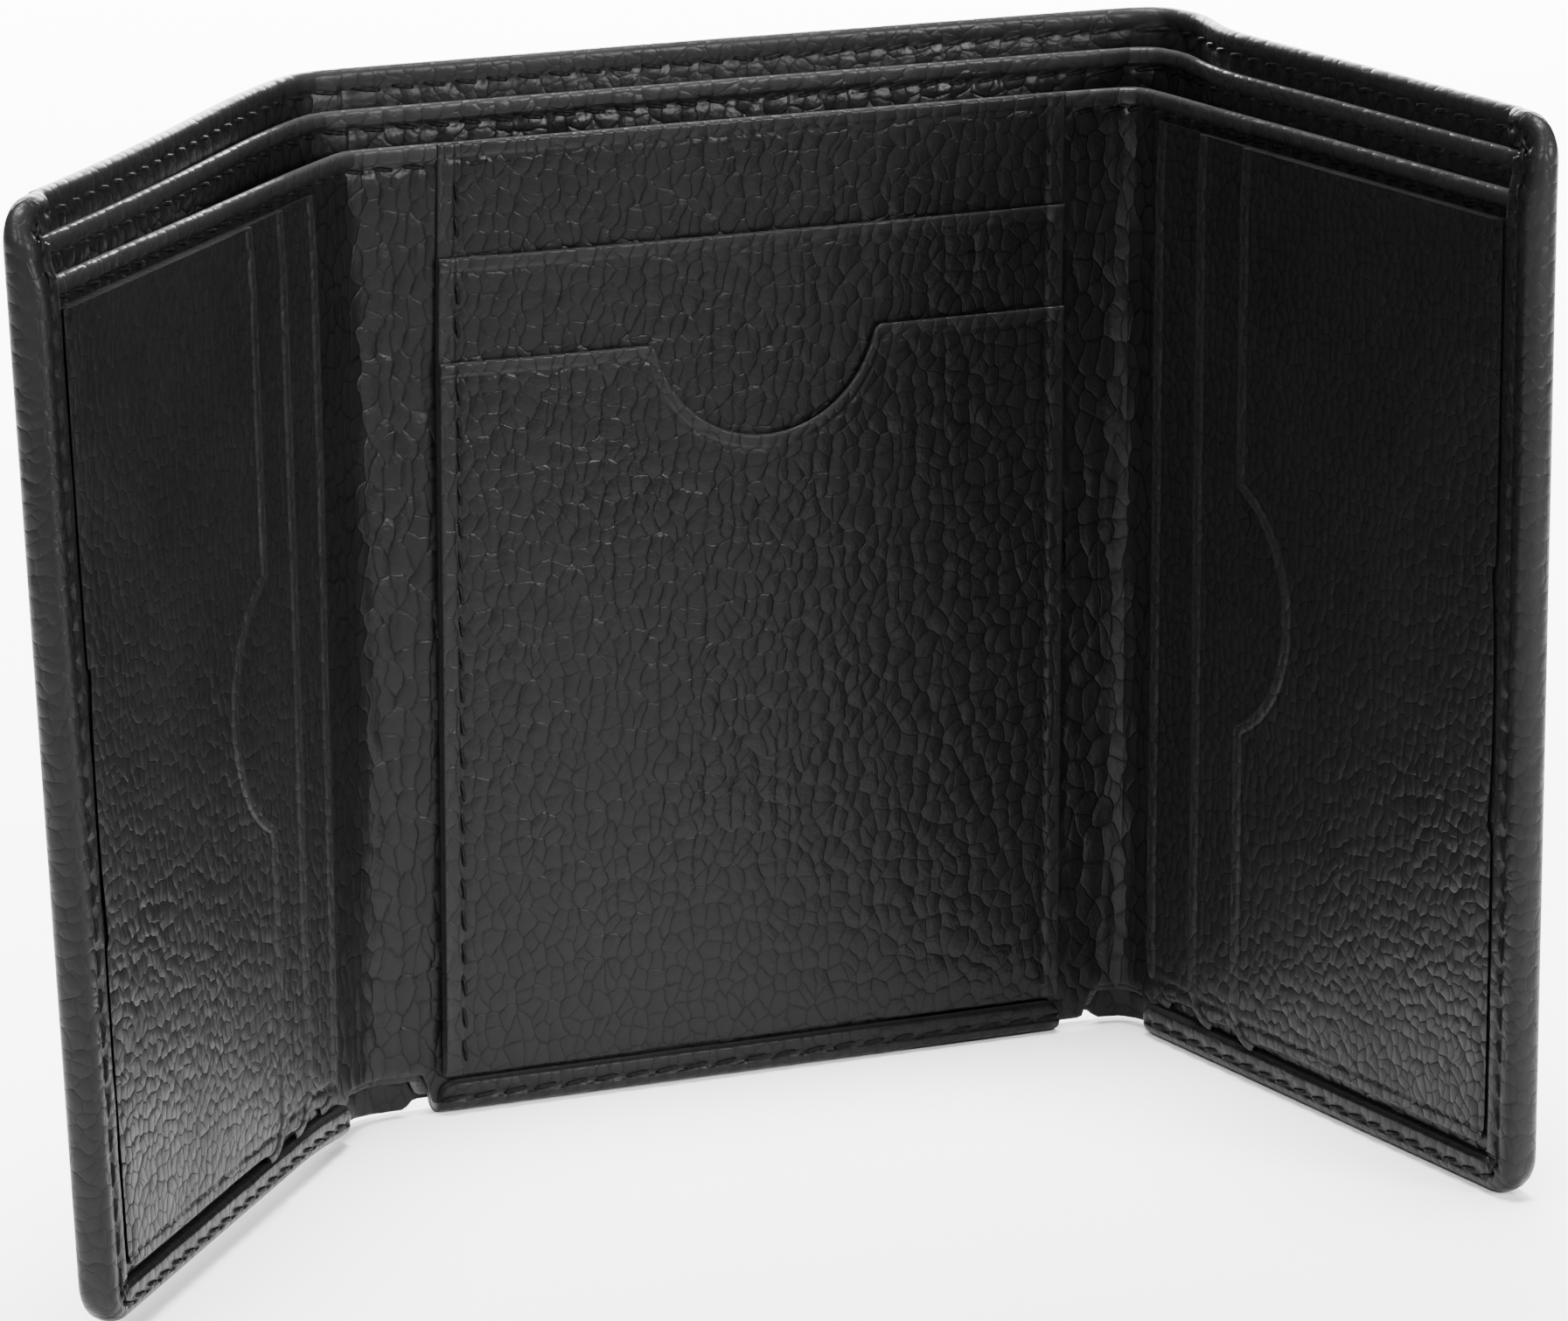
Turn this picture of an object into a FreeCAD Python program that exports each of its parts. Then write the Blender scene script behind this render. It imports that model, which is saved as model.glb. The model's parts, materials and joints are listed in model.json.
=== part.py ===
import FreeCAD, Part
import math
import os

import Sketcher

# A trifold wallet standing open like a folding screen.
# Row frame: +Z up, +X along the centre panel, +Y out of its back. The origin is the middle of the
# centre panel's bottom edge. Each panel is built flat in a frame of its own, whose origin is the
# fold line that it turns about, on the inner plane of the cover. Depth is measured inwards from
# that plane, towards the cards, so the cover's leather has negative depth.
# The words left and right are the wallet's own, seen from the front, where the cards go in.

doc = FreeCAD.newDocument("trifold_wallet")

SIZES = {
    # the open wallet
    "wallet_height": 108.0,
    "panel_width": 70.0,
    "wing_reach": 70.2,
    "corner_radius": 4.4,
    # folds: each is a spine between two fold lines, wide enough for what closes inside it
    "left_spine_width": 12.0,
    "right_spine_width": 7.4,
    "left_fold_angle": 24.3,
    "right_fold_angle": 43.0,
    "left_stack_margin": 2.4,
    "right_stack_margin": 4.9,
    "fold_gap": 0.15,
    "spine_strip_inset": 0.45,
    "spine_recess": 3.0,
    "centre_layer_margin": 2.2,
    "wing_layer_margin": 2.1,
    # leather, textile and board
    "cover_thickness": 1.0,
    "stiffener_thickness": 0.3,
    "lining_thickness": 0.2,
    "divider_thickness": 0.45,
    "wall_thickness": 0.55,
    "pocket_thickness": 0.45,
    "compartment_gap": 0.1,
    "stiffener_inset": 6.0,
    # heights of the free top edges
    "lining_drop": 1.0,
    "divider_top": 104.1,
    "wall_top": 100.3,
    "middle_pocket_top": 88.7,
    "lower_pocket_top": 78.1,
    "pocket_floor": 4.2,
    # card pockets in the wings, which open towards the fold
    "wing_pocket_top": 97.4,
    "left_wing_pocket_start": 5.2,
    "right_wing_pocket_start": 2.2,
    "wing_pocket_step": 8.7,
    "wing_pocket_corner": 4.0,
    # thumb notches
    "notch_radius": 13.2,
    "notch_rise": 2.4,
    "wing_notch_radius": 13.0,
    "wing_notch_rise": 4.0,
    "wing_notch_height": 50.0,
    # the cover's turned edge
    "hem_turn": 0.9,
    "hem_thickness": 1.0,
    "hem_clearance": 0.1,
    "hem_corner_cut": 2.5,
    "bottom_hem_height": 3.6,
    "side_hem_width": 4.5,
    "hem_overhang": 0.5,
    # sewing
    "stitch_length": 2.4,
    "stitch_width": 0.45,
    "stitch_height": 0.2,
    "stitch_pitch": 3.4,
    "top_seam_drop": 2.2,
    "pocket_seam_inset": 2.0,
    "bottom_seam_height": 1.5,
    "side_seam_inset": 2.5,
}

sheet = doc.addObject("Spreadsheet::Sheet", "sizes")
for row, (alias, amount) in enumerate(SIZES.items(), start=1):
    sheet.set(f"A{row}", alias)
    sheet.set(f"B{row}", str(amount))
    sheet.setAlias(f"B{row}", alias)
doc.recompute()


class Size:
    """A length or angle that keeps its number and the formula that ties it to the sheet."""

    def __init__(self, formula, number):
        self.formula = formula
        self.number = number

    def __add__(self, other):
        return Size(f"({self.formula} + {other.formula})", self.number + other.number)

    def __sub__(self, other):
        return Size(f"({self.formula} - {other.formula})", self.number - other.number)

    def __mul__(self, factor):
        return Size(f"({self.formula} * {factor})", self.number * factor)

    def times(self, other):
        return Size(f"({self.formula} * {other.formula})", self.number * other.number)

    def __neg__(self):
        return self * -1


def sized(alias):
    """The sheet's cell of that name."""
    return Size(f"sizes.{alias}", getattr(sheet, alias))


def cosine(angle):
    return Size(f"cos({angle.formula})", math.cos(math.radians(angle.number)))


def sine(angle):
    return Size(f"sin({angle.formula})", math.sin(math.radians(angle.number)))


def bind(item, path, size):
    """Tie one property to the sheet."""
    item.setExpression(path, size.formula)


ZERO = Size("0", 0.0)
LEFT = -1
RIGHT = 1
height = sized("wallet_height")
cover = sized("cover_thickness")

# How the layers lie on each other, as depths from the cover's inner plane.
stiffener_front = sized("stiffener_thickness")
lining_front = stiffener_front + sized("lining_thickness")
divider_back = lining_front + sized("compartment_gap")
divider_front = divider_back + sized("divider_thickness")
wall_back = divider_front + sized("compartment_gap")
wall_front = wall_back + sized("wall_thickness")
pocket_thickness = sized("pocket_thickness")
first_front = wall_front + pocket_thickness
second_front = first_front + pocket_thickness
stack_front = second_front + pocket_thickness
hem_front = wall_front + sized("hem_thickness")

# The closed thickness of one panel is split about the origin, so the origin is mid-thickness.
fold_plane = (stack_front - cover) * 0.5
half_stack = sized("panel_width") * 0.5
fold_lines = {
    LEFT: half_stack + sized("left_stack_margin"),
    RIGHT: half_stack + sized("right_stack_margin"),
}


def spine_frame(side, angle):
    """Where a spine stands: at the centre panel's fold line, turned by one fold's angle."""
    return fold_lines[side] * side, fold_plane, angle * -side


def wing_frame(side, angle, spine_width):
    """Where a wing stands: at the far edge of its spine, turned by both folds' angles."""
    across = fold_lines[side] + spine_width.times(cosine(angle))
    back = fold_plane - spine_width.times(sine(angle))
    return across * side, back, angle * (-2 * side)


centre_frame = (ZERO, fold_plane, ZERO)
left_angle = sized("left_fold_angle")
right_angle = sized("right_fold_angle")
left_spine_width = sized("left_spine_width")
right_spine_width = sized("right_spine_width")
nodes = []


def keep(item, name, frame):
    """Name a finished piece and stand it in its panel's frame."""
    item.Label = name
    for path, size in zip(("Base.x", "Base.y", "Rotation.Angle"), frame):
        bind(item, f"Placement.{path}", size)
    nodes.append(item)
    return item


def origin_plane(body, role):
    return next(item for item in body.Origin.OriginFeatures if item.Role == role)


def plane_sketch(body, role, offset):
    """An empty sketch on one of the body's own planes, moved along its normal."""
    sketch = body.newObject("Sketcher::SketchObject", f"{body.Name}_sketch")
    sketch.AttachmentSupport = [(origin_plane(body, role), "")]
    sketch.MapMode = "FlatFace"
    bind(sketch, "AttachmentOffset.Base.z", offset)
    return sketch


def pin_point(sketch, geometry, point, size, direction, axis):
    """Fix one coordinate of a point: on the axis when it is zero, else by a bound distance."""
    if abs(size.number) < 1e-9:
        sketch.addConstraint(Sketcher.Constraint("PointOnObject", geometry, point, axis))
        return
    if size.number > 0:
        ends, distance = (-1, 1, geometry, point), size
    else:
        ends, distance = (geometry, point, -1, 1), -size
    index = sketch.addConstraint(Sketcher.Constraint(direction, *ends, distance.number))
    bind(sketch, f"Constraints[{index}]", distance)


def straight_outline(sketch, corners):
    """A closed outline of straight edges whose every corner is bound to the sheet."""
    count = len(corners)
    points = [FreeCAD.Vector(across.number, up.number, 0) for across, up in corners]
    edges = [Part.LineSegment(points[i], points[(i + 1) % count]) for i in range(count)]
    sketch.addGeometry(edges, False)
    for i in range(count):
        sketch.addConstraint(Sketcher.Constraint("Coincident", i, 2, (i + 1) % count, 1))
    for i, (across, up) in enumerate(corners):
        pin_point(sketch, i, 1, across, "DistanceX", -2)
        pin_point(sketch, i, 1, up, "DistanceY", -1)


def rectangle(near, far, low, high):
    return [(near, low), (far, low), (far, high), (near, high)]


def pad(body, sketch, thickness):
    feature = body.newObject("PartDesign::Pad", f"{body.Name}_pad")
    feature.Profile = sketch
    bind(feature, "Length", thickness)
    return feature


def round_corners(body, feature, corners, radius):
    """Round the edges that run through the thickness at the given corners of the outline."""
    doc.recompute()
    names = []
    for index, edge in enumerate(feature.Shape.Edges, start=1):
        start, end = edge.firstVertex().Point, edge.lastVertex().Point
        through = abs(start.x - end.x) < 1e-6 and abs(start.z - end.z) < 1e-6
        at_corner = any(
            abs(start.x - across.number) < 1e-6 and abs(start.z - up.number) < 1e-6
            for across, up in corners
        )
        if through and at_corner:
            names.append(f"Edge{index}")
    if len(names) != len(corners):
        raise ValueError(f"{body.Name}: {len(names)} of {len(corners)} corners found")
    fillet = body.newObject("PartDesign::Fillet", f"{body.Name}_corners")
    fillet.Base = (feature, names)
    bind(fillet, "Radius", radius)
    return fillet


def panel_piece(name, frame, back, thickness, outline, rounded=(), radius=None):
    """A flat piece: an outline in the panel's plane, padded inwards from its back depth."""
    body = doc.addObject("PartDesign::Body", name)
    sketch = plane_sketch(body, "XZ_Plane", back)
    straight_outline(sketch, outline)
    feature = pad(body, sketch, thickness)
    if rounded:
        round_corners(body, feature, rounded, radius)
    return keep(body, name, frame)


def cut_notch(body, back, across, up, radius):
    """Cut a round thumb notch through a pocket piece."""
    doc.recompute()
    whole = body.Shape.Volume
    sketch = plane_sketch(body, "XZ_Plane", back)
    middle = FreeCAD.Vector(across.number, up.number, 0)
    sketch.addGeometry(Part.Circle(middle, FreeCAD.Vector(0, 0, 1), radius.number), False)
    index = sketch.addConstraint(Sketcher.Constraint("Radius", 0, radius.number))
    bind(sketch, f"Constraints[{index}]", radius)
    pin_point(sketch, 0, 3, across, "DistanceX", -2)
    pin_point(sketch, 0, 3, up, "DistanceY", -1)
    notch = body.newObject("PartDesign::Pocket", f"{body.Name}_notch")
    notch.Profile = sketch
    notch.Type = "ThroughAll"
    notch.Midplane = True
    doc.recompute()
    if not body.Shape.Volume < whole - 1.0:
        raise ValueError(f"{body.Name}: the notch cuts nothing")


def bottom_hem(name, frame, start, run):
    """The cover's edge turned up over the layers: a web under them and a flap before them."""
    body = doc.addObject("PartDesign::Body", name)
    sketch = plane_sketch(body, "YZ_Plane", start)
    turn = sized("hem_turn")
    top = sized("bottom_hem_height")
    straight_outline(
        sketch,
        [
            (ZERO, ZERO),
            (-hem_front, ZERO),
            (-hem_front, top),
            (-wall_front, top),
            (-wall_front, turn),
            (ZERO, turn),
        ],
    )
    pad(body, sketch, run)
    return keep(body, name, frame)


def side_hem(name, frame, side):
    """The cover's edge turned in along a wing's outer side, round both outer corners."""
    body = doc.addObject("PartDesign::Body", name)
    outer = sized("wing_reach") * side
    inner = (sized("wing_reach") - sized("side_hem_width")) * side
    block_sketch = plane_sketch(body, "XZ_Plane", ZERO)
    straight_outline(block_sketch, rectangle(inner, outer, ZERO, height))
    block = pad(body, block_sketch, hem_front)
    round_corners(body, block, [(outer, ZERO), (outer, height)], sized("corner_radius"))
    doc.recompute()
    solid = body.Shape.Volume
    turn = sized("hem_turn")
    cavity_sketch = plane_sketch(body, "XZ_Plane", ZERO)
    wall = outer - turn * side
    cut = sized("hem_corner_cut")
    before = inner - turn * side
    above = height + turn
    straight_outline(
        cavity_sketch,
        [
            (before, turn),
            (wall - cut * side, turn),
            (wall, turn + cut),
            (wall, above),
            (before, above),
        ],
    )
    cavity = body.newObject("PartDesign::Pocket", f"{body.Name}_cavity")
    cavity.Profile = cavity_sketch
    cavity.Reversed = True
    bind(cavity, "Length", wall_front)
    doc.recompute()
    if not body.Shape.Volume < solid - 1.0:
        raise ValueError(f"{name}: the cavity cuts nothing")
    return keep(body, name, frame)


def seam(start, end, outward):
    """One row of stitches: short blocks of thread, at the pitch, lying on a face.

    start and end are points (across, depth, up); outward is +1 for a face seen from the front
    and -1 for the back of the cover.
    """
    first = FreeCAD.Vector(start[0], -start[1], start[2])
    run = FreeCAD.Vector(end[0], -end[1], end[2]) - first
    count = int(run.Length // sheet.stitch_pitch)
    along = FreeCAD.Vector(run)
    along.normalize()
    margin = (run.Length - count * sheet.stitch_pitch) / 2
    half = sheet.stitch_width / 2
    thread = []
    for i in range(count):
        at = first + along * (margin + i * sheet.stitch_pitch)
        upright = abs(along.z) > 0.5
        size_x = sheet.stitch_width if upright else sheet.stitch_length
        size_z = sheet.stitch_length if upright else sheet.stitch_width
        low_x = at.x - half if upright else min(at.x, at.x + along.x * sheet.stitch_length)
        low_z = at.z if upright else at.z - half
        low_y = at.y - sheet.stitch_height if outward > 0 else at.y
        corner = FreeCAD.Vector(low_x, low_y, low_z)
        thread.append(Part.makeBox(size_x, sheet.stitch_height, size_z, corner))
    return thread


def stitching(name, frame, seams):
    """All the stitches of one seam group, as separate solids in one piece."""
    feature = doc.addObject("Part::Feature", name)
    thread = [stitch for row in seams for stitch in seam(*row)]
    feature.Shape = Part.makeCompound(thread)
    return keep(feature, name, frame)


# Numbers that the seams use, all read from the sheet.
cover_back = -sheet.cover_thickness
cover_seam = sheet.wallet_height - sheet.top_seam_drop
divider_seam = sheet.divider_top - sheet.top_seam_drop
wall_seam = sheet.wall_top - sheet.top_seam_drop


def top_seams(near, far, wall_face):
    """The rows along the free top edges: cover inside and outside, divider and front wall."""
    return [
        ((near, lining_front.number, cover_seam), (far, lining_front.number, cover_seam), 1),
        ((near, cover_back, cover_seam), (far, cover_back, cover_seam), -1),
        ((near, divider_front.number, divider_seam), (far, divider_front.number, divider_seam), 1),
        ((near, wall_face, wall_seam), (far, wall_face, wall_seam), 1),
    ]


# ------------------------------------------------------------------ centre panel
layer_floor = sized("hem_turn") + sized("hem_clearance")
lining_top = height - sized("lining_drop")


def short_of_folds(margin):
    """The two ends of a layer, each a margin short of its fold line."""
    return margin - fold_lines[LEFT], fold_lines[RIGHT] - margin


def centre_piece(name, back, thickness, ends, low, high):
    return panel_piece(name, centre_frame, back, thickness, rectangle(*ends, low, high))


inset = sized("stiffener_inset")
layer_ends = short_of_folds(sized("centre_layer_margin"))
board_ends = layer_ends[0] + inset, layer_ends[1] - inset
stack_ends = -half_stack, half_stack
centre_piece("centre_cover", -cover, cover, short_of_folds(sized("fold_gap")), ZERO, height)
centre_piece("centre_stiffener", ZERO, stiffener_front, board_ends, inset, height - inset)
centre_piece(
    "centre_lining", stiffener_front, sized("lining_thickness"), layer_ends, layer_floor, lining_top
)
centre_piece(
    "centre_divider",
    divider_back,
    sized("divider_thickness"),
    layer_ends,
    layer_floor,
    sized("divider_top"),
)
centre_piece(
    "centre_front_wall",
    wall_back,
    sized("wall_thickness"),
    layer_ends,
    layer_floor,
    sized("wall_top"),
)
pocket_floor = sized("pocket_floor")
lower_top = sized("lower_pocket_top")
centre_piece(
    "centre_top_pocket", wall_front, pocket_thickness, stack_ends, pocket_floor, sized("wall_top")
)
centre_piece(
    "centre_middle_pocket",
    first_front,
    pocket_thickness,
    stack_ends,
    pocket_floor,
    sized("middle_pocket_top"),
)
lower_pocket = centre_piece(
    "centre_lower_pocket", second_front, pocket_thickness, stack_ends, pocket_floor, lower_top
)
cut_notch(
    lower_pocket, second_front, ZERO, lower_top + sized("notch_rise"), sized("notch_radius")
)
half_hem = half_stack + sized("hem_overhang")
bottom_hem("centre_bottom_hem", centre_frame, -half_hem, half_hem * 2)

seam_ends = tuple(end.number for end in layer_ends)
hem_seam = sheet.bottom_seam_height
stitching("centre_edge_stitching", centre_frame, top_seams(*seam_ends, first_front.number))
stitching(
    "centre_hem_stitching",
    centre_frame,
    [
        ((seam_ends[0], face, hem_seam), (seam_ends[1], face, hem_seam), outward)
        for face, outward in ((hem_front.number, 1), (cover_back, -1))
    ],
)
seam_across = half_stack.number - sheet.pocket_seam_inset
pocket_faces = [
    (stack_front.number, sheet.pocket_floor, sheet.lower_pocket_top),
    (second_front.number, sheet.lower_pocket_top, sheet.middle_pocket_top),
    (first_front.number, sheet.middle_pocket_top, wall_seam - sheet.stitch_width),
]
stitching(
    "centre_pocket_stitching",
    centre_frame,
    [
        ((across, face, low), (across, face, high), 1)
        for across in (-seam_across, seam_across)
        for face, low, high in pocket_faces
    ],
)


# ------------------------------------------------------------------ the two spines
def build_spine(label, side, angle, width):
    """The strips of cover, lining, divider and front wall that bend between two fold lines."""
    frame = spine_frame(side, angle)
    gap = sized("fold_gap")
    strip_inset = sized("spine_strip_inset")
    recess = sized("spine_recess")
    strips = [
        ("cover", -cover, cover, gap, recess, height),
        ("lining", stiffener_front, sized("lining_thickness"), strip_inset, recess, lining_top),
        (
            "divider",
            divider_back,
            sized("divider_thickness"),
            strip_inset,
            layer_floor,
            sized("divider_top"),
        ),
        ("front_wall", wall_back, sized("wall_thickness"), strip_inset, layer_floor, sized("wall_top")),
    ]
    for layer, back, thickness, end_gap, low, high in strips:
        outline = rectangle(end_gap * side, (width - end_gap) * side, low, high)
        panel_piece(f"{label}_spine_{layer}", frame, back, thickness, outline)
    near = sheet.spine_strip_inset * side
    far = (width.number - sheet.spine_strip_inset) * side
    stitching(f"{label}_spine_stitching", frame, top_seams(near, far, wall_front.number))


build_spine("left", LEFT, left_angle, left_spine_width)
build_spine("right", RIGHT, right_angle, right_spine_width)


# ------------------------------------------------------------------ the two wings
def build_wing(label, side, angle, spine_width):
    """A wing: cover, layers, three card pockets that open towards the fold, and its hems."""
    frame = wing_frame(side, angle, spine_width)
    reach = sized("wing_reach")
    layer_end = reach - sized("hem_turn") - sized("hem_clearance")
    corner = sized("corner_radius")
    outer = reach * side

    def layer(name, back, thickness, start, end, low, high, rounded=(), radius=None):
        outline = rectangle(start * side, end * side, low, high)
        piece = f"{label}_wing_{name}"
        return panel_piece(piece, frame, back, thickness, outline, rounded, radius)

    layer(
        "cover", -cover, cover, sized("fold_gap"), reach, ZERO, height,
        [(outer, ZERO), (outer, height)], corner,
    )
    layer(
        "stiffener", ZERO, stiffener_front, inset, reach - inset, inset, height - inset,
    )
    start = sized("wing_layer_margin")
    sheets = [
        ("lining", stiffener_front, sized("lining_thickness"), lining_top),
        ("divider", divider_back, sized("divider_thickness"), sized("divider_top")),
        ("front_wall", wall_back, sized("wall_thickness"), sized("wall_top")),
    ]
    for name, back, thickness, top in sheets:
        corners = [(layer_end * side, layer_floor)]
        if name == "lining":
            corners.append((layer_end * side, top))
        layer(name, back, thickness, start, layer_end, layer_floor, top, corners, corner)

    pocket_end = reach - sized("side_hem_width") - sized("hem_clearance")
    pocket_top = sized("wing_pocket_top")
    pockets = [("inner_pocket", wall_front), ("middle_pocket", first_front)]
    pockets.append(("outer_pocket", second_front))
    for number, (name, back) in enumerate(pockets):
        begin = sized(f"{label}_wing_pocket_start") + sized("wing_pocket_step") * number
        piece = layer(
            name, back, pocket_thickness, begin, pocket_end, pocket_floor, pocket_top,
            [(begin * side, pocket_floor)], sized("wing_pocket_corner"),
        )
    notch_across = (begin - sized("wing_notch_rise")) * side
    cut_notch(piece, back, notch_across, sized("wing_notch_height"), sized("wing_notch_radius"))

    run = reach - sized("side_hem_width") - start
    first = start if side == RIGHT else -(start + run)
    bottom_hem(f"{label}_wing_bottom_hem", frame, first, run)
    side_hem(f"{label}_wing_side_hem", frame, side)

    near = start.number * side
    far = (sheet.wing_reach - sheet.side_hem_width) * side
    stitching(f"{label}_wing_edge_stitching", frame, top_seams(near, far, wall_front.number))
    front = hem_front.number
    seam_side = (sheet.wing_reach - sheet.side_seam_inset) * side
    low = sheet.corner_radius
    high = sheet.wallet_height - sheet.corner_radius
    stitching(
        f"{label}_wing_hem_stitching",
        frame,
        [
            ((near, front, hem_seam), (far, front, hem_seam), 1),
            ((near, cover_back, hem_seam), (far, cover_back, hem_seam), -1),
            ((seam_side, front, low), (seam_side, front, high), 1),
            ((seam_side, cover_back, low), (seam_side, cover_back, high), -1),
        ],
    )


build_wing("left", LEFT, left_angle, left_spine_width)
build_wing("right", RIGHT, right_angle, right_spine_width)

# ------------------------------------------------------------------ check and write
doc.recompute()
for item in doc.Objects:
    if "Invalid" in item.State or "Error" in item.State:
        raise ValueError(f"{item.Label} failed: {item.State}")
for item in nodes:
    if item.Shape.isNull() or not item.Shape.isValid():
        raise ValueError(f"{item.Label} has no valid shape")

os.makedirs("parts", exist_ok=True)
for item in nodes:
    item.Shape.exportStep(f"parts/{item.Label}.step")
    box = item.Shape.BoundBox
    print(
        f"{item.Label:28s} {item.Shape.Volume:9.1f} mm3  "
        f"x {box.XMin:7.2f} {box.XMax:7.2f}  y {box.YMin:7.2f} {box.YMax:7.2f}  "
        f"z {box.ZMin:6.2f} {box.ZMax:6.2f}"
    )
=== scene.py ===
import json
import math

import bpy
import numpy as np
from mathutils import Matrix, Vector


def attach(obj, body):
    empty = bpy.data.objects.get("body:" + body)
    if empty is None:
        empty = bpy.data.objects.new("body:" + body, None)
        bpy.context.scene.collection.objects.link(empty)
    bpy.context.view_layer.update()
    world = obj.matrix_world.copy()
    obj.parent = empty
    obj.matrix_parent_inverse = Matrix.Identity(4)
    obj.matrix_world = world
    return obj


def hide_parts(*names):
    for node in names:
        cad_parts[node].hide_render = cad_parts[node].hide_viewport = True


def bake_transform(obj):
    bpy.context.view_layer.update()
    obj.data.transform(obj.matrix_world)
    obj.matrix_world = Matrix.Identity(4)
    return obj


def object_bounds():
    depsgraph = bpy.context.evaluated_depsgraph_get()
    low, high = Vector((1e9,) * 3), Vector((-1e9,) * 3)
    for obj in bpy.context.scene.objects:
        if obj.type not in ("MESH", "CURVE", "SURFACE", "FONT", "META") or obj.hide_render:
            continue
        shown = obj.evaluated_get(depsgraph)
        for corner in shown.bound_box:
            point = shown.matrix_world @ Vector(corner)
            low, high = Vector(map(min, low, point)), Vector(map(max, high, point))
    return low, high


# A black leather trifold wallet that stands open like a folding screen: a centre panel with upright
# card pockets, a wing on each side with pockets that open towards the fold, and two long note
# compartments behind them all. Lengths in this file are in millimetres until a mesh is written.
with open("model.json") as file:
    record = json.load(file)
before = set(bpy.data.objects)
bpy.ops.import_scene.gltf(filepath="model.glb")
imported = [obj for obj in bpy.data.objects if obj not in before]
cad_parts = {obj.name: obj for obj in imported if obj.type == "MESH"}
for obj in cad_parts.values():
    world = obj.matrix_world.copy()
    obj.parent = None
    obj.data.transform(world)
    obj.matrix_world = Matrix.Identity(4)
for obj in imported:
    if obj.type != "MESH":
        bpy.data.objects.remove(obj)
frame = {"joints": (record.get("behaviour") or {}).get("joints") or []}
cad_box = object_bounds()


# ------------------------------------------------------------------ stage, lights and camera
# A plain white floor and soft lamps: a key lamp high on the left in front, a fill from the right, a long
# lamp behind that draws a thin bright line along the folded top edges, and a wide one that keeps the
# floor behind the wallet white.
MM = 0.001


def linear(hex_colour):
    """An sRGB hex colour as linear light: the lower part is a straight line, the rest a power of 2.4."""
    channels = np.array([int(hex_colour[i : i + 2], 16) for i in (1, 3, 5)]) / 255.0
    curve = np.where(channels <= 0.04045, channels / 12.92, ((channels + 0.055) / 1.055) ** 2.4)
    return (*curve.tolist(), 1.0)


def add_node(tree, kind, settings=None, **sockets):
    """One node with its settings and its inputs, where an input is a number or another node's output."""
    node = tree.nodes.new(kind)
    for key, value in (settings or {}).items():
        setattr(node, key, value)
    for key, value in sockets.items():
        name = key.replace("_", " ")
        socket = node.inputs[int(name[1:])] if name[0] == "i" and name[1:].isdigit() else node.inputs[name]
        if isinstance(value, bpy.types.NodeSocket):
            tree.links.new(value, socket)
        else:
            socket.default_value = value
    return node


def new_material(name):
    """An empty node material and its tree."""
    material = bpy.data.materials.new(name)
    material.use_nodes = True
    material.node_tree.nodes.clear()
    return material, material.node_tree


def finish_material(tree, shader):
    """Send a shader to the material's output."""
    output = tree.nodes.new("ShaderNodeOutputMaterial")
    tree.links.new(shader.outputs[0], output.inputs["Surface"])


def white_paper():
    """Matt white studio paper: a broad, even reflector, with a tint variation too faint to notice."""
    material, tree = new_material("matt_white_paper")
    place = add_node(tree, "ShaderNodeTexCoord")
    fibre = add_node(tree, "ShaderNodeTexNoise", Vector=place.outputs["Object"], Scale=3.0, Detail=2.0)
    tint = add_node(
        tree,
        "ShaderNodeMix",
        {"data_type": "RGBA"},
        i0=fibre.outputs["Fac"],
        i6=linear("#F4F4F3"),
        i7=linear("#F8F8F7"),
    )
    finish_material(
        tree,
        add_node(tree, "ShaderNodeBsdfPrincipled", Base_Color=tint.outputs[2], Roughness=0.9),
    )
    return material


FLOOR_HALF = 4.0
floor_mesh = bpy.data.meshes.new("floor")
floor_mesh.from_pydata(
    [(x * FLOOR_HALF, y * FLOOR_HALF, 0.0) for x, y in ((-1, -1), (1, -1), (1, 1), (-1, 1))],
    [],
    [(0, 1, 2, 3)],
)
floor = bpy.data.objects.new("floor", floor_mesh)
floor_mesh.materials.append(white_paper())
bpy.context.scene.collection.objects.link(floor)

world = bpy.data.worlds.new("white_studio")
world.use_nodes = True
world.node_tree.nodes["Background"].inputs["Color"].default_value = linear("#FFFFFF")
world.node_tree.nodes["Background"].inputs["Strength"].default_value = 0.15
bpy.context.scene.world = world

# name, place, aim, watts, width and height, spread in degrees; places and sizes in metres
LAMPS = [
    ("key_lamp", (-0.55, -0.75, 0.65), (0.0, -0.03, 0.06), 1.7, 0.3, 0.3, 60.0),
    ("fill_lamp", (0.42, -0.7, 0.3), (0.0, -0.03, 0.06), 1.7, 0.3, 0.3, 60.0),
    ("edge_lamp", (0.35, 0.85, 0.4), (0.0, -0.03, 0.1), 40.0, 0.9, 0.25, 180.0),
    ("top_lamp", (0.3, 0.72, 0.9), (0.3, 0.72, 0.0), 58.0, 1.6, 1.7, 40.0),
]
for name, place, aim, power, width, length, spread in LAMPS:
    light = bpy.data.lights.new(name, "AREA")
    light.energy = power
    light.shape = "RECTANGLE"
    light.size = width
    light.size_y = length
    light.spread = math.radians(spread)
    lamp = bpy.data.objects.new(name, light)
    lamp.location = place
    lamp.rotation_mode = "QUATERNION"
    lamp.rotation_quaternion = (Vector(aim) - Vector(place)).to_track_quat("-Z", "Y")
    bpy.context.scene.collection.objects.link(lamp)

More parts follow.
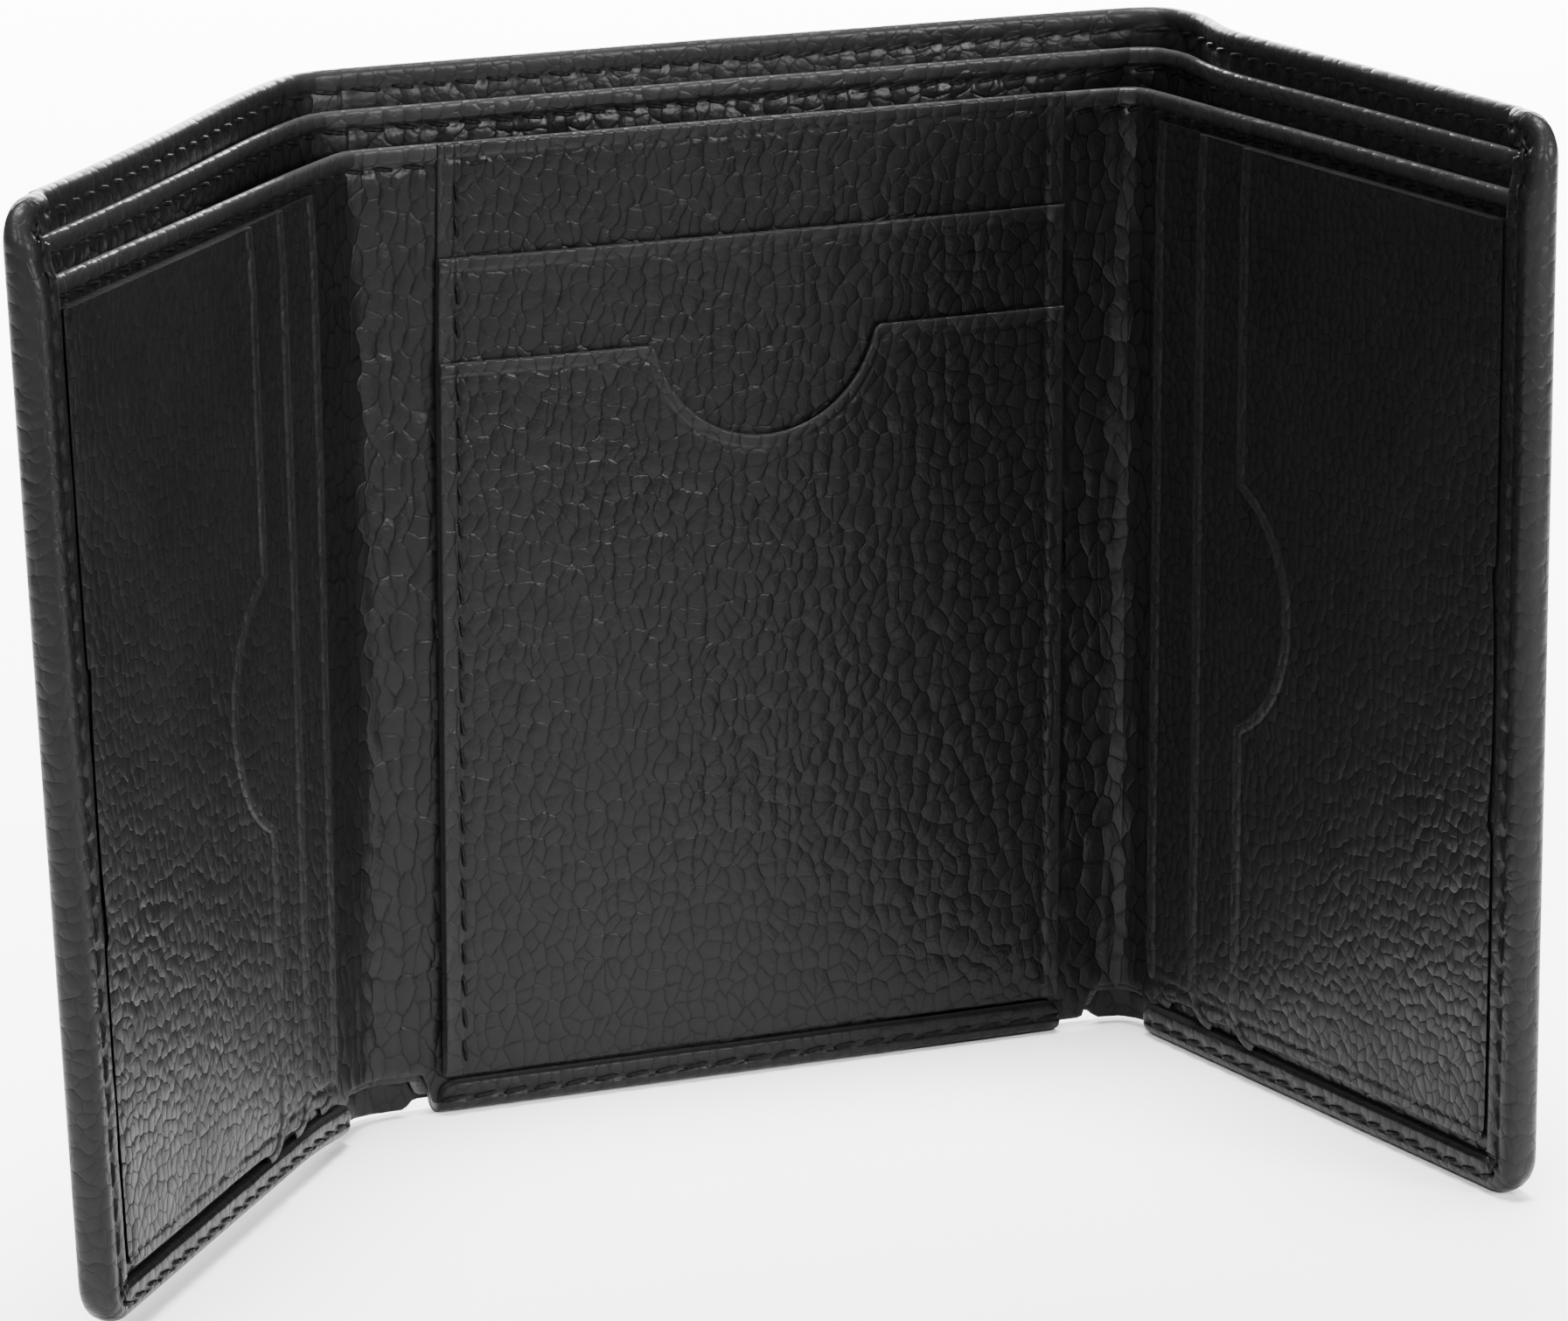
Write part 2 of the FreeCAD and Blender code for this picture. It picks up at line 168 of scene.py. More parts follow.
VIEW_TURN = math.radians(25.5)
VIEW_DROP = math.radians(13.7)
CAMERA_PLACE = (-0.3501, -0.7422, 0.2437)
FOCAL_LENGTH = 189.2
camera_data = bpy.data.cameras.new("camera")
camera_data.lens = FOCAL_LENGTH
camera_data.sensor_width = 36.0
camera_data.clip_end = 20.0
camera = bpy.data.objects.new("camera", camera_data)
ahead = Vector(
    (
        math.sin(VIEW_TURN) * math.cos(VIEW_DROP),
        math.cos(VIEW_TURN) * math.cos(VIEW_DROP),
        -math.sin(VIEW_DROP),
    )
)
camera.location = CAMERA_PLACE
camera.rotation_mode = "QUATERNION"
camera.rotation_quaternion = ahead.to_track_quat("-Z", "Y")
bpy.context.scene.collection.objects.link(camera)
bpy.context.scene.camera = camera


# ------------------------------------------------------------------ how the sheets lie at a fold
# Every long sheet runs from the centre panel round both folds into the wings. The two hinge lines of
# a fold come from the frame; the leather itself has one soft bend, and its free top edges stand a
# little apart there, as they do on a used wallet.
HEIGHT = cad_box[1].z / MM
REACH = 70.2
JOINTS = {joint["name"]: joint for joint in frame["joints"]}


class Fold:
    """One fold's plan: its two hinge lines, how far it turns, and the wing's own directions."""

    def __init__(self, side):
        self.side = side
        self.sign = -1.0 if side == "left" else 1.0
        self.near = np.array(JOINTS[f"{side}_fold"]["pos_m"][:2]) / MM
        self.far = np.array(JOINTS[f"{side}_wing_fold"]["pos_m"][:2]) / MM
        self.line = abs(self.near[0])
        across, back = np.abs(self.far - self.near)
        self.width = math.hypot(across, back)
        turn = 2.0 * math.atan2(back, across)
        self.out = np.array([self.sign * math.cos(turn), -math.sin(turn)])
        self.inward = np.array([-self.sign * math.sin(turn), -math.cos(turn)])
        self.spine = (self.far - self.near) / self.width
        self.wing = self.line + self.width
        self.end = self.wing + REACH


LEFT, RIGHT = Fold("left"), Fold("right")
PLANE = LEFT.near[1]
LEAN_FROM, LEAN_TO = 74.0, 104.0
# how each wing hangs: how much further open its top is than its bottom, how far past the fold its gape
# has closed, and how high its bottom stands off the table
TWIST = {"left": math.radians(4.6), "right": 0.0}
GAPE_RUN = {"left": 34.0, "right": 8.0}
LIFT = {"left": 1.8, "right": 0.0}
LIFT_RUN = 16.0


def smooth(x, low, high):
    """0 below low and 1 above high, with an S-shaped cubic between them."""
    x = np.clip((x - low) / (high - low), 0.0, 1.0)
    return x * x * (3.0 - 2.0 * x)


def bell(x, middle, width):
    """1 at the middle, falling off with the square of the distance in an exponential."""
    return np.exp(-(((x - middle) / width) ** 2))


def lean(up, amount):
    """How far a sheet of the centre panel comes forward near its free top."""
    return amount * smooth(up, LEAN_FROM, LEAN_TO)


def lay_centre(across, depth, up, slack):
    """The centre panel: depth is measured forward from the hinge plane, and the top leans forward."""
    y = PLANE - depth - lean(up, slack["lean"])
    return np.stack([across, y, up + 0.0 * across], axis=-1)


def lay_round(fold, along, depth, up, slack):
    """A sheet that turns from the centre panel into a wing.

    The panel's line and the wing's line, each moved by the sheet's depth, cross at a corner. With q
    the distance past the corner, the sheet stands at the corner plus (root(q*q + r*r) - q) / 2 back
    along the first line plus (root(q*q + r*r) + q) / 2 out along the second: a hyperbola's branch.
    Near the fold the wing's top bulges outwards, a twisted wing leans out more at its top, and a
    lifted one stands a little off the table.
    """
    share = np.clip(up / HEIGHT, 0.0, 1.0) ** 1.5
    gape = slack["gape"][fold.side] * share
    front = depth + lean(up, slack["lean"])
    side = depth - gape
    run_back = (fold.far[1] + fold.inward[1] * side - (PLANE - front)) / fold.out[1]
    corner_x = fold.far[0] + fold.inward[0] * side - fold.out[0] * run_back
    corner_y = PLANE - front
    corner_along = fold.sign * corner_x
    q = along - corner_along + smooth(along, fold.line, fold.wing) * (
        run_back + corner_along - fold.wing
    )
    root = np.sqrt(q * q + slack["soft"] ** 2)
    back, out = (root - q) / 2.0, (root + q) / 2.0
    past = along - fold.wing
    closing = gape * (1.0 - bell(np.maximum(past, 0.0), 0.0, GAPE_RUN[fold.side]))
    swing = np.tan(TWIST[fold.side] * up / HEIGHT) * (past + np.sqrt(past * past + 9.0)) / 2.0
    shift = closing - swing
    lifted = LIFT[fold.side] * smooth(along, fold.line, fold.wing + LIFT_RUN) * (1.0 - up / HEIGHT)
    x = corner_x - fold.sign * back + fold.out[0] * out + fold.inward[0] * shift
    y = corner_y + fold.out[1] * out + fold.inward[1] * shift
    return np.stack([x, y, up + lifted + 0.0 * x], axis=-1)


def write_mesh(name, points, faces, attributes, material):
    """A mesh object of quads from points in millimetres, with its faces turned to point outwards.

    Six times its volume is the sum of the triple products of its triangles' corners; where that is
    negative the faces point inwards.
    """
    points = points * MM
    halves = points[np.concatenate([faces[:, :3], faces[:, [0, 2, 3]]])]
    volume = np.einsum("ij,ij->i", halves[:, 0], np.cross(halves[:, 1], halves[:, 2])).sum()
    if volume < 0.0:
        faces = faces[:, ::-1]
    mesh = bpy.data.meshes.new(name)
    mesh.from_pydata(points.tolist(), [], faces.tolist())
    for key, values in attributes.items():
        kind = "FLOAT_VECTOR" if values.ndim == 2 else "FLOAT"
        attribute = mesh.attributes.new(key, kind, "POINT")
        field = "vector" if values.ndim == 2 else "value"
        attribute.data.foreach_set(field, values.astype(np.float32).ravel())
    mesh.shade_smooth()
    mesh.set_sharp_from_angle(angle=math.radians(55.0))
    mesh.materials.append(material)
    piece = bpy.data.objects.new(name, mesh)
    bpy.context.scene.collection.objects.link(piece)
    return piece


def sleeve_faces(columns, rows):
    """Quads of a closed tube of loops, with its two ends closed by strips across the loop.

    Row j of a loop faces row rows - 1 - j, so an end is a ladder between the two halves.
    """
    grid = np.arange(columns * rows).reshape(columns, rows)
    a, b = grid[:-1], grid[1:]
    around = np.stack([a, b, np.roll(b, -1, axis=1), np.roll(a, -1, axis=1)], axis=-1).reshape(-1, 4)
    j = np.arange(rows // 2 - 1)
    ladder = np.stack([j, j + 1, rows - 2 - j, rows - 1 - j], axis=-1)
    return np.concatenate([around, grid[0][ladder], grid[-1][ladder[:, ::-1]]])


# ------------------------------------------------------------------ the cover
# The outer hide, one piece of full-grain cowhide about 1 mm thick from wing to wing, drum-dyed black.
# Its top edge is turned in and sewn down, so a band of the same leather shows inside above the
# dividers. It is made here in four lengths that meet where the leather doesn't bend.
PITCH = 3.4
CORNER = 4.4
TOP_DROPS = np.array(
    [0.0, 0.04, 0.12, 0.25, 0.45, 0.7, 1.0, 1.3, 1.55, 1.75, 1.95, 2.15, 2.4, 2.7, 3.2, 4.2]
)
BOTTOM_RISES = np.array([0.0, 0.05, 0.15, 0.3, 0.6, 1.2])
FILL = np.linspace(0.0, 1.0, 22)[1:-1]


def leather(name, colours, cells, heights, gloss, streak=1.0):
    """Dyed leather: domed pebbles with hairline creases between them, fine pores and slow wrinkles.

    The height is the wrinkle's noise, less the distance from the pebble's middle to the power 1.8, less
    the distance from the pore's, plus a small step up from the crease. A crease is duller than the grain
    and coloured darker, partly the dye and partly painted shade in the hairline; pebbles are longer where
    the sheet is folded. The edge colour follows an attribute that marks worn edges and also paints a
    highlight along them. colours are the crease, the grain and the edge hex, the last for worn leather
    and a painted highlight; cells are the pebble, the pore and the wrinkle in millimetres; heights are
    theirs, in the same order; gloss is about the grain's roughness; streak stretches the pores upright.
    """
    material, tree = new_material(name)
    place, crease, wear_and_highlight = (
        add_node(tree, "ShaderNodeAttribute", {"attribute_name": key}) for key in ("hide", "crease", "wear_and_highlight")
    )
    wander_scale = 1.0 / (2.2 * cells[0] * MM)
    wander = add_node(
        tree, "ShaderNodeTexNoise", Vector=place.outputs["Vector"], Scale=wander_scale, Detail=3.0
    )
    bend = add_node(
        tree,
        "ShaderNodeVectorMath",
        {"operation": "MULTIPLY_ADD"},
        i0=wander.outputs["Color"],
        i1=(cells[0] * MM * 1.5,) * 3,
        i2=place.outputs["Vector"],
    )
    cell_distances = []
    for size, stretch, feature in (
        (cells[0], 0.8, "F1"),
        (cells[0], 0.68, "F1"),
        (cells[0], 0.8, "DISTANCE_TO_EDGE"),
        (cells[0], 0.68, "DISTANCE_TO_EDGE"),
        (cells[1], 1.0 / streak, "F1"),
    ):
        spread = add_node(
            tree,
            "ShaderNodeMapping",
            Vector=bend.outputs["Vector"],
            Scale=(1.0 / (size * MM), stretch / (size * MM), 1.0 / (size * MM)),
        )
        cell = add_node(
            tree,
            "ShaderNodeTexVoronoi",
            {"feature": feature, "voronoi_dimensions": "2D"},
            Vector=spread.outputs["Vector"],
            Scale=1.0,
            Randomness=0.85,
        )
        cell_distances.append(cell.outputs["Distance"])
    flat_pebble, folded_pebble, flat_edge, folded_edge, pore = cell_distances
    folded = add_node(
        tree, "ShaderNodeMapRange", Value=crease.outputs["Fac"], From_Min=0.12, From_Max=0.22
    )
    pebble = add_node(
        tree,
        "ShaderNodeMix",
        {"data_type": "FLOAT"},
        i0=folded.outputs["Result"],
        i2=flat_pebble,
        i3=folded_pebble,
    )
    fall = add_node(tree, "ShaderNodeMath", {"operation": "POWER"}, i0=pebble.outputs[0], i1=1.8)
    border = add_node(
        tree,
        "ShaderNodeMix",
        {"data_type": "FLOAT"},
        i0=folded.outputs["Result"],
        i2=flat_edge,
        i3=folded_edge,
    )
    line = add_node(
        tree,
        "ShaderNodeMapRange",
        {"interpolation_type": "SMOOTHSTEP"},
        Value=border.outputs[0],
        From_Min=0.0,
        From_Max=0.1,
    )
    wrinkle_place = add_node(
        tree,
        "ShaderNodeMapping",
        Vector=bend.outputs["Vector"],
        Scale=(1.0 / (cells[2] * MM), 0.45 / (cells[2] * MM), 1.0 / (cells[2] * MM)),
    )
    wrinkle = add_node(
        tree, "ShaderNodeTexNoise", Vector=wrinkle_place.outputs["Vector"], Scale=1.0, Detail=3.0
    )
    height = add_node(
        tree, "ShaderNodeMath", {"operation": "MULTIPLY"}, i0=wrinkle.outputs["Fac"], i1=heights[2]
    )
    step_up = 0.09 * heights[0]
    for part, scale in (
        (pore, -heights[1]),
        (fall.outputs[0], -heights[0]),
        (line.outputs["Result"], step_up),
    ):
        height = add_node(
            tree, "ShaderNodeMath", {"operation": "MULTIPLY_ADD"}, i0=part, i1=scale, i2=height.outputs[0]
        )
    bump = add_node(tree, "ShaderNodeBump", Height=height.outputs[0], Strength=1.0, Distance=1.0 * MM)
    # The colour runs from the crease hex, darker as painted shade in the hairlines, to the grain hex, then
    # to the lighter edge hex, which paints worn edges and a highlight along them.
    colour = linear(colours[0])
    for share, over in ((line.outputs["Result"], colours[1]), (wear_and_highlight.outputs["Fac"], colours[2])):
        tint = add_node(
            tree, "ShaderNodeMix", {"data_type": "RGBA"}, i0=share, i6=colour, i7=linear(over)
        )
        colour = tint.outputs[2]
    patch = add_node(
        tree, "ShaderNodeTexNoise", Vector=place.outputs["Vector"], Scale=1.0 / (14.0 * MM), Detail=4.0
    )
    ranges = {"From_Min": 0.3, "From_Max": 0.7, "To_Min": gloss + 0.04, "To_Max": gloss + 0.18}
    rough = add_node(tree, "ShaderNodeMapRange", Value=patch.outputs["Fac"], **ranges)
    dulled = add_node(
        tree,
        "ShaderNodeMath",
        {"operation": "MULTIPLY_ADD"},
        i0=line.outputs["Result"],
        i1=-0.1,
        i2=rough.outputs["Result"],
    )
    shader = add_node(
        tree,
        "ShaderNodeBsdfPrincipled",
        Base_Color=colour,
        Roughness=dulled.outputs[0],
        Specular_IOR_Level=0.09,
        Normal=bump.outputs["Normal"],
    )
    finish_material(tree, shader)
    return material


# Full-grain cowhide with a semi-gloss finish: round pebbles under 2 mm across, hairline creases between
# them, and fine pores. The pebble tops catch the light and the creases stay dull.
cover_leather = leather(
    "full_grain_cowhide", ("#020202", "#0D0D0D", "#262626"), (1.7, 0.6, 6.0), (0.10, 0.02, 0.12), 0.34
)


def ripple(across, up):
    """A slow unevenness of a hand-held sheet, in tenths of a millimetre: two crossed sine waves."""
    return 0.10 * np.sin(across / 9.0 + up / 23.0 + 0.7) * np.sin(up / 14.0 - across / 31.0)


def needle_holes(across):
    """1 where the thread goes through, half-way between stitches, and 0 under a stitch."""
    return (0.5 - 0.5 * np.cos(2.0 * np.pi * across / PITCH)) ** 4


BEAD_ENDS = (1.5, 1.9)
BAND_ENDS = (11.6, 12.4)
GROOVE_WIDTH = 0.42


def sheet_faces(sheet, across, drop, up, crease):
    """The front and back depth of a sheet at a distance below its top edge.

    The edge is a folded roll: its half thickness follows a circle, then a bead, then the plain sheet.
    A seam presses a groove, deepest at the needle holes; a fold raises upright wrinkles.
    """
    middle, plain = (sheet["front"] + sheet["back"]) / 2.0, (sheet["front"] - sheet["back"]) / 2.0
    bead, turned = sheet.get("bead", 0.0), sheet.get("turned", 0.0)
    half = plain + bead * (1.0 - smooth(drop, *BEAD_ENDS))
    band = turned * (1.0 - smooth(drop, *BAND_ENDS))
    down = np.clip(drop / (plain + bead + turned / 2.0), 0.0, 1.0)
    roll = np.sqrt(np.clip(1.0 - (1.0 - down) ** 2, 0.0, 1.0))
    groove = 0.0
    if "seam" in sheet:
        groove = (0.09 + 0.26 * needle_holes(across)) * bell(drop, sheet["seam"], GROOVE_WIDTH)
    folds = np.sin(2.0 * np.pi * across / 2.3 + 2.0 * np.sin(up / 7.0))
    folds = folds + 0.6 * np.sin(2.0 * np.pi * across / 1.37 + 1.6 * np.sin(up / 4.6 + 1.0))
    wave = ripple(across, up) + sheet.get("wrinkle", 0.0) * crease * folds
    front = middle + band / 2.0 + (half + band / 2.0) * roll - groove + wave
    back = middle + band / 2.0 - (half + band / 2.0) * roll + groove * sheet.get("sewn_back", 0.0) + wave
    return front, back


def hide_attributes(across, up, depth, crease, wear_and_highlight):
    """What the leather's pattern reads: the place on the flat hide, how creased it is, and how much lighter
    its edges are, for wear and a painted highlight.
    """
    shape = across.shape
    return {
        "hide": np.stack([across, up, depth + np.zeros(shape)], axis=-1).reshape(-1, 3) * MM,
        "crease": (crease + np.zeros(shape)).ravel(),
        "wear_and_highlight": (wear_and_highlight + np.zeros(shape)).ravel(),
    }


def sheet_rows(low, high):
    """How far up each row of a sheet is: close rows at its two edges and even ones between."""
    low, high = low[:, None], high[:, None]
    bottom = low + BOTTOM_RISES
    top = high - TOP_DROPS[::-1]
    between = bottom[:, -1:] + (top[:, :1] - bottom[:, -1:]) * FILL
    return np.concatenate([bottom, between, top], axis=1)


def sheet_piece(name, sheet, place, along, sign, low, high, crease, material):
    """A sheet between two heights, as one closed loop round its thickness at each step along it.

    Its bottom edge is rounded by a quarter circle: root(1 - (1 - rise / half thickness) squared).
    """
    up = sheet_rows(low, high)
    across = sign * along[:, None] + 0.0 * up
    drop = high[:, None] - up
    creases = crease[:, None] + 0.0 * up
    front, back = sheet_faces(sheet, across, drop, up, creases)
    rise = up - low[:, None]
    half = (front - back) / 2.0
    risen = np.clip(rise / np.maximum(half, 0.05), 0.0, 1.0)
    hem = np.sqrt(np.clip(1.0 - (1.0 - risen) ** 2, 0.02, 1.0))
    middle = (front + back) / 2.0
    front, back = middle + half * hem, middle - half * hem
    depth = np.concatenate([front, back[:, ::-1]], axis=1)
    up = np.concatenate([up, up[:, ::-1]], axis=1)
    drop = high[:, None] - up
    across = sign * along[:, None] + 0.0 * up
    points = place(sign * across, depth, up).reshape(-1, 3)
    # Lighter colour along the top and bottom edges: partly wear, partly a painted highlight on the folded
    # rims.
    wear_and_highlight = 0.8 * np.exp(-drop / 0.8) + 0.35 * bell(up - low[:, None], 0.0, 0.6)
    attributes = hide_attributes(across, up, depth, crease[:, None], wear_and_highlight)
    return write_mesh(name, points, sleeve_faces(*up.shape), attributes, material)


def steps(start, end):
    """Even steps along a sheet, six to a stitch."""
    count = max(2, int(round((end - start) / (PITCH / 6.0))))
    return np.linspace(start, end, count + 1)


def fold_crease(fold, along):
    """1 in the middle of a fold, falling to 0 in the panels beside it."""
    return bell(along, fold.line + fold.width / 2.0 + 1.0, fold.width / 2.0 + 2.5)


def in_fold(fold, along, margin):
    """1 between the two panels and 0 in them, for edges that step back in a fold."""
    return smooth(along, fold.line - margin, fold.line + 1.5 - margin) * (
        1.0 - smooth(along, fold.wing + margin - 1.5, fold.wing + margin)
    )


def bend_with(piece, fold, hinge):
    """Bake a finished piece's placement into its mesh; the hinge's bodies, middle and reach are worked out
    but not used, so nothing bends here.
    """
    panel_way = np.array([fold.sign, 0.0])
    if hinge == "near":
        bodies, middle, way = ("centre", f"{fold.side}_spine"), fold.near, panel_way + fold.spine
    else:
        bodies, middle, way = (f"{fold.side}_spine", f"{fold.side}_wing"), fold.far, fold.spine + fold.out
    way = way / np.linalg.norm(way) * 2.6
    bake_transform(piece)


def long_sheet(label, sheet, material):
    """A sheet from wing to wing, in four lengths that meet at mid-panel and at mid-spine."""
    for fold in (LEFT, RIGHT):
        place = lambda along, depth, up: lay_round(fold, along, depth, up, sheet)
        joint = fold.line + fold.width / 2.0
        inner = steps(0.0, joint)
        low, high = sheet["low"](fold, inner), sheet["high"](fold, inner)
        half = sheet_piece(
            f"{fold.side}_half_{label}", sheet, place, inner, fold.sign, low, high,
            fold_crease(fold, inner), material,
        )
        bend_with(half, fold, "near")
        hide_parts(f"centre_{label}")
        corner = fold.end - CORNER
        turn = np.sin(np.linspace(0.0, np.pi / 2.0, 9))[1:] * (CORNER - sheet["inset"])
        outer = np.concatenate([steps(joint, corner), corner + turn])
        low, high = sheet["low"](fold, outer), sheet["high"](fold, outer)
        wing = sheet_piece(
            f"{fold.side}_outer_{label}", sheet, place, outer, fold.sign, low, high,
            fold_crease(fold, outer), material,
        )
        bend_with(wing, fold, "far")
        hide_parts(f"{fold.side}_spine_{label}", f"{fold.side}_wing_{label}")


def arc_rise(past, radius):
    """How far a rounded corner has left its straight edge: the radius less the circle's height."""
    return radius - np.sqrt(np.clip(radius**2 - np.clip(past, 0.0, radius) ** 2, 0.0, None))


COVER_INSET = 1.3
COVER_SLACK = {"lean": -0.5, "gape": {"left": 4.2, "right": 3.2}, "soft": 3.2}


def cover_low(fold, along):
    """The cover ends where its turned hem begins, and reaches almost to the table in the folds."""
    past = along - (fold.end - CORNER)
    return COVER_INSET - 1.0 * in_fold(fold, along, 0.0) + arc_rise(past, CORNER - COVER_INSET)


def cover_high(fold, along):
    """The full height, less the rounded outer corner under the side hem."""
    past = along - (fold.end - CORNER)
    under_hem = COVER_INSET * smooth(past, -2.0, -1.2)
    return HEIGHT - under_hem - arc_rise(past, CORNER - COVER_INSET)


cover = {
    "back": -1.0, "front": 0.0, "turned": 0.45, "seam": 2.2, "sewn_back": 1.0, "wrinkle": 0.05,
    "inset": COVER_INSET, "low": cover_low, "high": cover_high, **COVER_SLACK,
}
long_sheet("cover", cover, cover_leather)


# ------------------------------------------------------------------ stiffeners and lining
# Inside the cover each panel has a sheet of grey pressed fibre board, and over it a thin black
# plain-weave lining glued to the leather. Both are hidden unless the note compartment is open.
def two_tone(tree, pattern, colours, strength, depth, **finish):
    """End a material whose pattern blends two colours and raises the surface, by a depth in millimetres."""
    tint = add_node(
        tree,
        "ShaderNodeMix",
        {"data_type": "RGBA"},
        i0=pattern,
        i6=linear(colours[0]),
        i7=linear(colours[1]),
    )
    bump = add_node(tree, "ShaderNodeBump", Height=pattern, Strength=strength, Distance=depth * MM)
    shader = add_node(
        tree,
        "ShaderNodeBsdfPrincipled",
        Base_Color=tint.outputs[2],
        Normal=bump.outputs["Normal"],
        **finish,
    )
    finish_material(tree, shader)


def fibre_board():
    """Pressed grey fibre board: short matted fibres, quite matt."""
    material, tree = new_material("pressed_fibre_board")
    place = add_node(tree, "ShaderNodeAttribute", {"attribute_name": "hide"})
    fibre = add_node(
        tree, "ShaderNodeTexNoise", Vector=place.outputs["Vector"], Scale=1.0 / (0.7 * MM), Detail=4.0
    )
    two_tone(tree, fibre.outputs["Fac"], ("#5A544B", "#8A8274"), 0.5, 0.1, Roughness=0.85)
    return material


def lining_weave():
    """Black plain-weave polyester with threads 0.25 mm apart: two crossed waves, matt with a faint sheen."""
    material, tree = new_material("plain_weave_lining")
    place = add_node(tree, "ShaderNodeAttribute", {"attribute_name": "hide"})
    waves = []
    for direction in ("X", "Y"):
        wave = add_node(
            tree,
            "ShaderNodeTexWave",
            {"bands_direction": direction},
            Vector=place.outputs["Vector"],
            Scale=0.31 / (0.5 * MM),
        )
        waves.append(wave.outputs["Fac"])
    weave = add_node(tree, "ShaderNodeMath", {"operation": "MAXIMUM"}, i0=waves[0], i1=waves[1])
    two_tone(
        tree, weave.outputs[0], ("#0A0A0B", "#1D1D20"), 0.6, 0.1, Roughness=0.75, Sheen_Weight=0.15
    )
    return material


LINING_TOP = 95.4
LINING_CORNER = 3.0
lining = {
    "back": 0.3, "front": 0.5, "inset": 1.4, **COVER_SLACK,
    "low": lambda fold, along: (
        2.0 + 2.0 * in_fold(fold, along, 0.0) + arc_rise(along - fold.end + CORNER, LINING_CORNER)
    ),
    "high": lambda fold, along: LINING_TOP + 0.0 * along,
}
long_sheet("lining", lining, lining_weave())

BOARD_INSET = 6.0
CENTRE_MARGIN = 2.2
board_material = fibre_board()
board = {"back": 0.02, "front": 0.28, **COVER_SLACK}
for body in ("left_wing", "centre", "right_wing"):
    fold = LEFT if body == "left_wing" else RIGHT
    if body == "centre":
        inset = CENTRE_MARGIN + BOARD_INSET
        across = np.linspace(inset - LEFT.line, RIGHT.line - inset, 40)
        place = lambda along, depth, up: lay_centre(along, depth, up, board)
    else:
        across = np.linspace(fold.wing + BOARD_INSET, fold.end - BOARD_INSET, 40)
        place = lambda along, depth, up: lay_round(fold, along, depth, up, board)
    low = np.full(len(across), BOARD_INSET)
    high = np.full(len(across), LINING_TOP - 2.0)
    piece = sheet_piece(
        f"{body}_board", board, place, across, 1.0, low, high, 0.0 * across, board_material
    )
    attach(piece, body)
    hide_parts(f"{body}_stiffener")


# ------------------------------------------------------------------ divider and front wall
# Two thinner sheets of corrected-grain leather split the inside into two note compartments. Each has
# a folded and sewn top edge, and hangs free between the panels, where it creases upright.
# Corrected-grain leather: the largest pebbles and the strongest creases here, and a lighter colour
# along the folded edges, partly worn finish and partly a painted highlight.
interior_leather = leather(
    "corrected_grain_leather", ("#020202", "#0C0C0C", "#2C2C2C"), (1.9, 0.55, 5.0), (0.20, 0.02, 0.14), 0.32
)


DIVIDER_TOP = 104.1
WALL_TOP = 100.3
STRIP_CORNER = 3.4


def strip_low(plain, stepped):
    """A bottom edge that runs under the hems and is trimmed higher in the folds."""
    return lambda fold, along: (
        plain
        + (stepped - plain) * in_fold(fold, along, 1.6)
        + arc_rise(along - fold.end + CORNER, STRIP_CORNER)
    )


divider = {
    "back": 0.6, "front": 1.05, "bead": 0.18, "seam": 2.2, "wrinkle": 0.05, "inset": 1.0,
    "low": strip_low(1.0, 3.6), "high": lambda fold, along: DIVIDER_TOP + 0.0 * along,
    "lean": -0.1, "gape": {"left": 3.5, "right": 2.6}, "soft": 2.6,
}
front_wall = {
    "back": 1.15, "front": 1.70, "bead": 0.18, "seam": 2.2, "wrinkle": 0.04, "inset": 1.0,
    "low": strip_low(1.0, 4.3), "high": lambda fold, along: WALL_TOP + 0.0 * along,
    "lean": 0.85, "gape": {"left": 0.9, "right": 0.2}, "soft": 2.0,
}
long_sheet("divider", divider, interior_leather)
long_sheet("front_wall", front_wall, interior_leather)


# ------------------------------------------------------------------ pockets
# Card pockets of the same leather, skived thinner. Each free edge is folded over by 1.5 mm and
# creased; the centre's three stand upright in steps, the wings' three open towards the fold.
# Skived pocket leather: the same hide split thin, so its pebbles are lower and its finish smoother.
pocket_leather = leather(
    "skived_pocket_leather", ("#020202", "#0D0D0D", "#242424"), (1.6, 0.5, 7.0), (0.155, 0.02, 0.20), 0.30
)
# Printed-grain leather: small shallow pebbles pressed into the surface, with pores drawn out upright,
# and a more matt finish.
wing_leather = leather(
    "printed_grain_leather", ("#020202", "#0D0D0D", "#222222"), (1.2, 0.5, 6.0), (0.19, 0.014, 0.12), 0.42,
    streak=2.4,
)
EDGE_ROWS = np.array([0.0, 0.03, 0.1, 0.22, 0.4, 0.7, 1.0, 1.25, 1.4, 1.55, 1.8, 2.3, 3.2, 4.6, 7.0])
SIDE_STEPS = np.array([0.0, 0.04, 0.12, 0.3, 0.6, 1.0, 1.5, 1.8, 2.0, 2.2, 2.6])


CHORD_HALF = 1.6
EDGE_LIFT, EDGE_LIFT_RUN = 0.32, 3.5


def edge_normals(edge, fall):
    """Unit normals of an edge line, on the side that the pocket falls away to.

    Each is square to the chord between the line's points a little before and after it.
    """
    distance = np.concatenate([[0.0], np.cumsum(np.linalg.norm(np.diff(edge, axis=0), axis=1))])
    reach = np.clip(distance[:, None] + np.array([-CHORD_HALF, CHORD_HALF]), 0.0, distance[-1])
    ends = np.stack([np.interp(reach, distance, line) for line in edge.T], axis=-1)
    way = ends[:, 1] - ends[:, 0]
    normal = np.stack([-way[:, 1], way[:, 0]], axis=-1)
    normal /= np.linalg.norm(normal, axis=1, keepdims=True)
    return normal * np.sign((normal * fall).sum(axis=1, keepdims=True) + 1e-9)


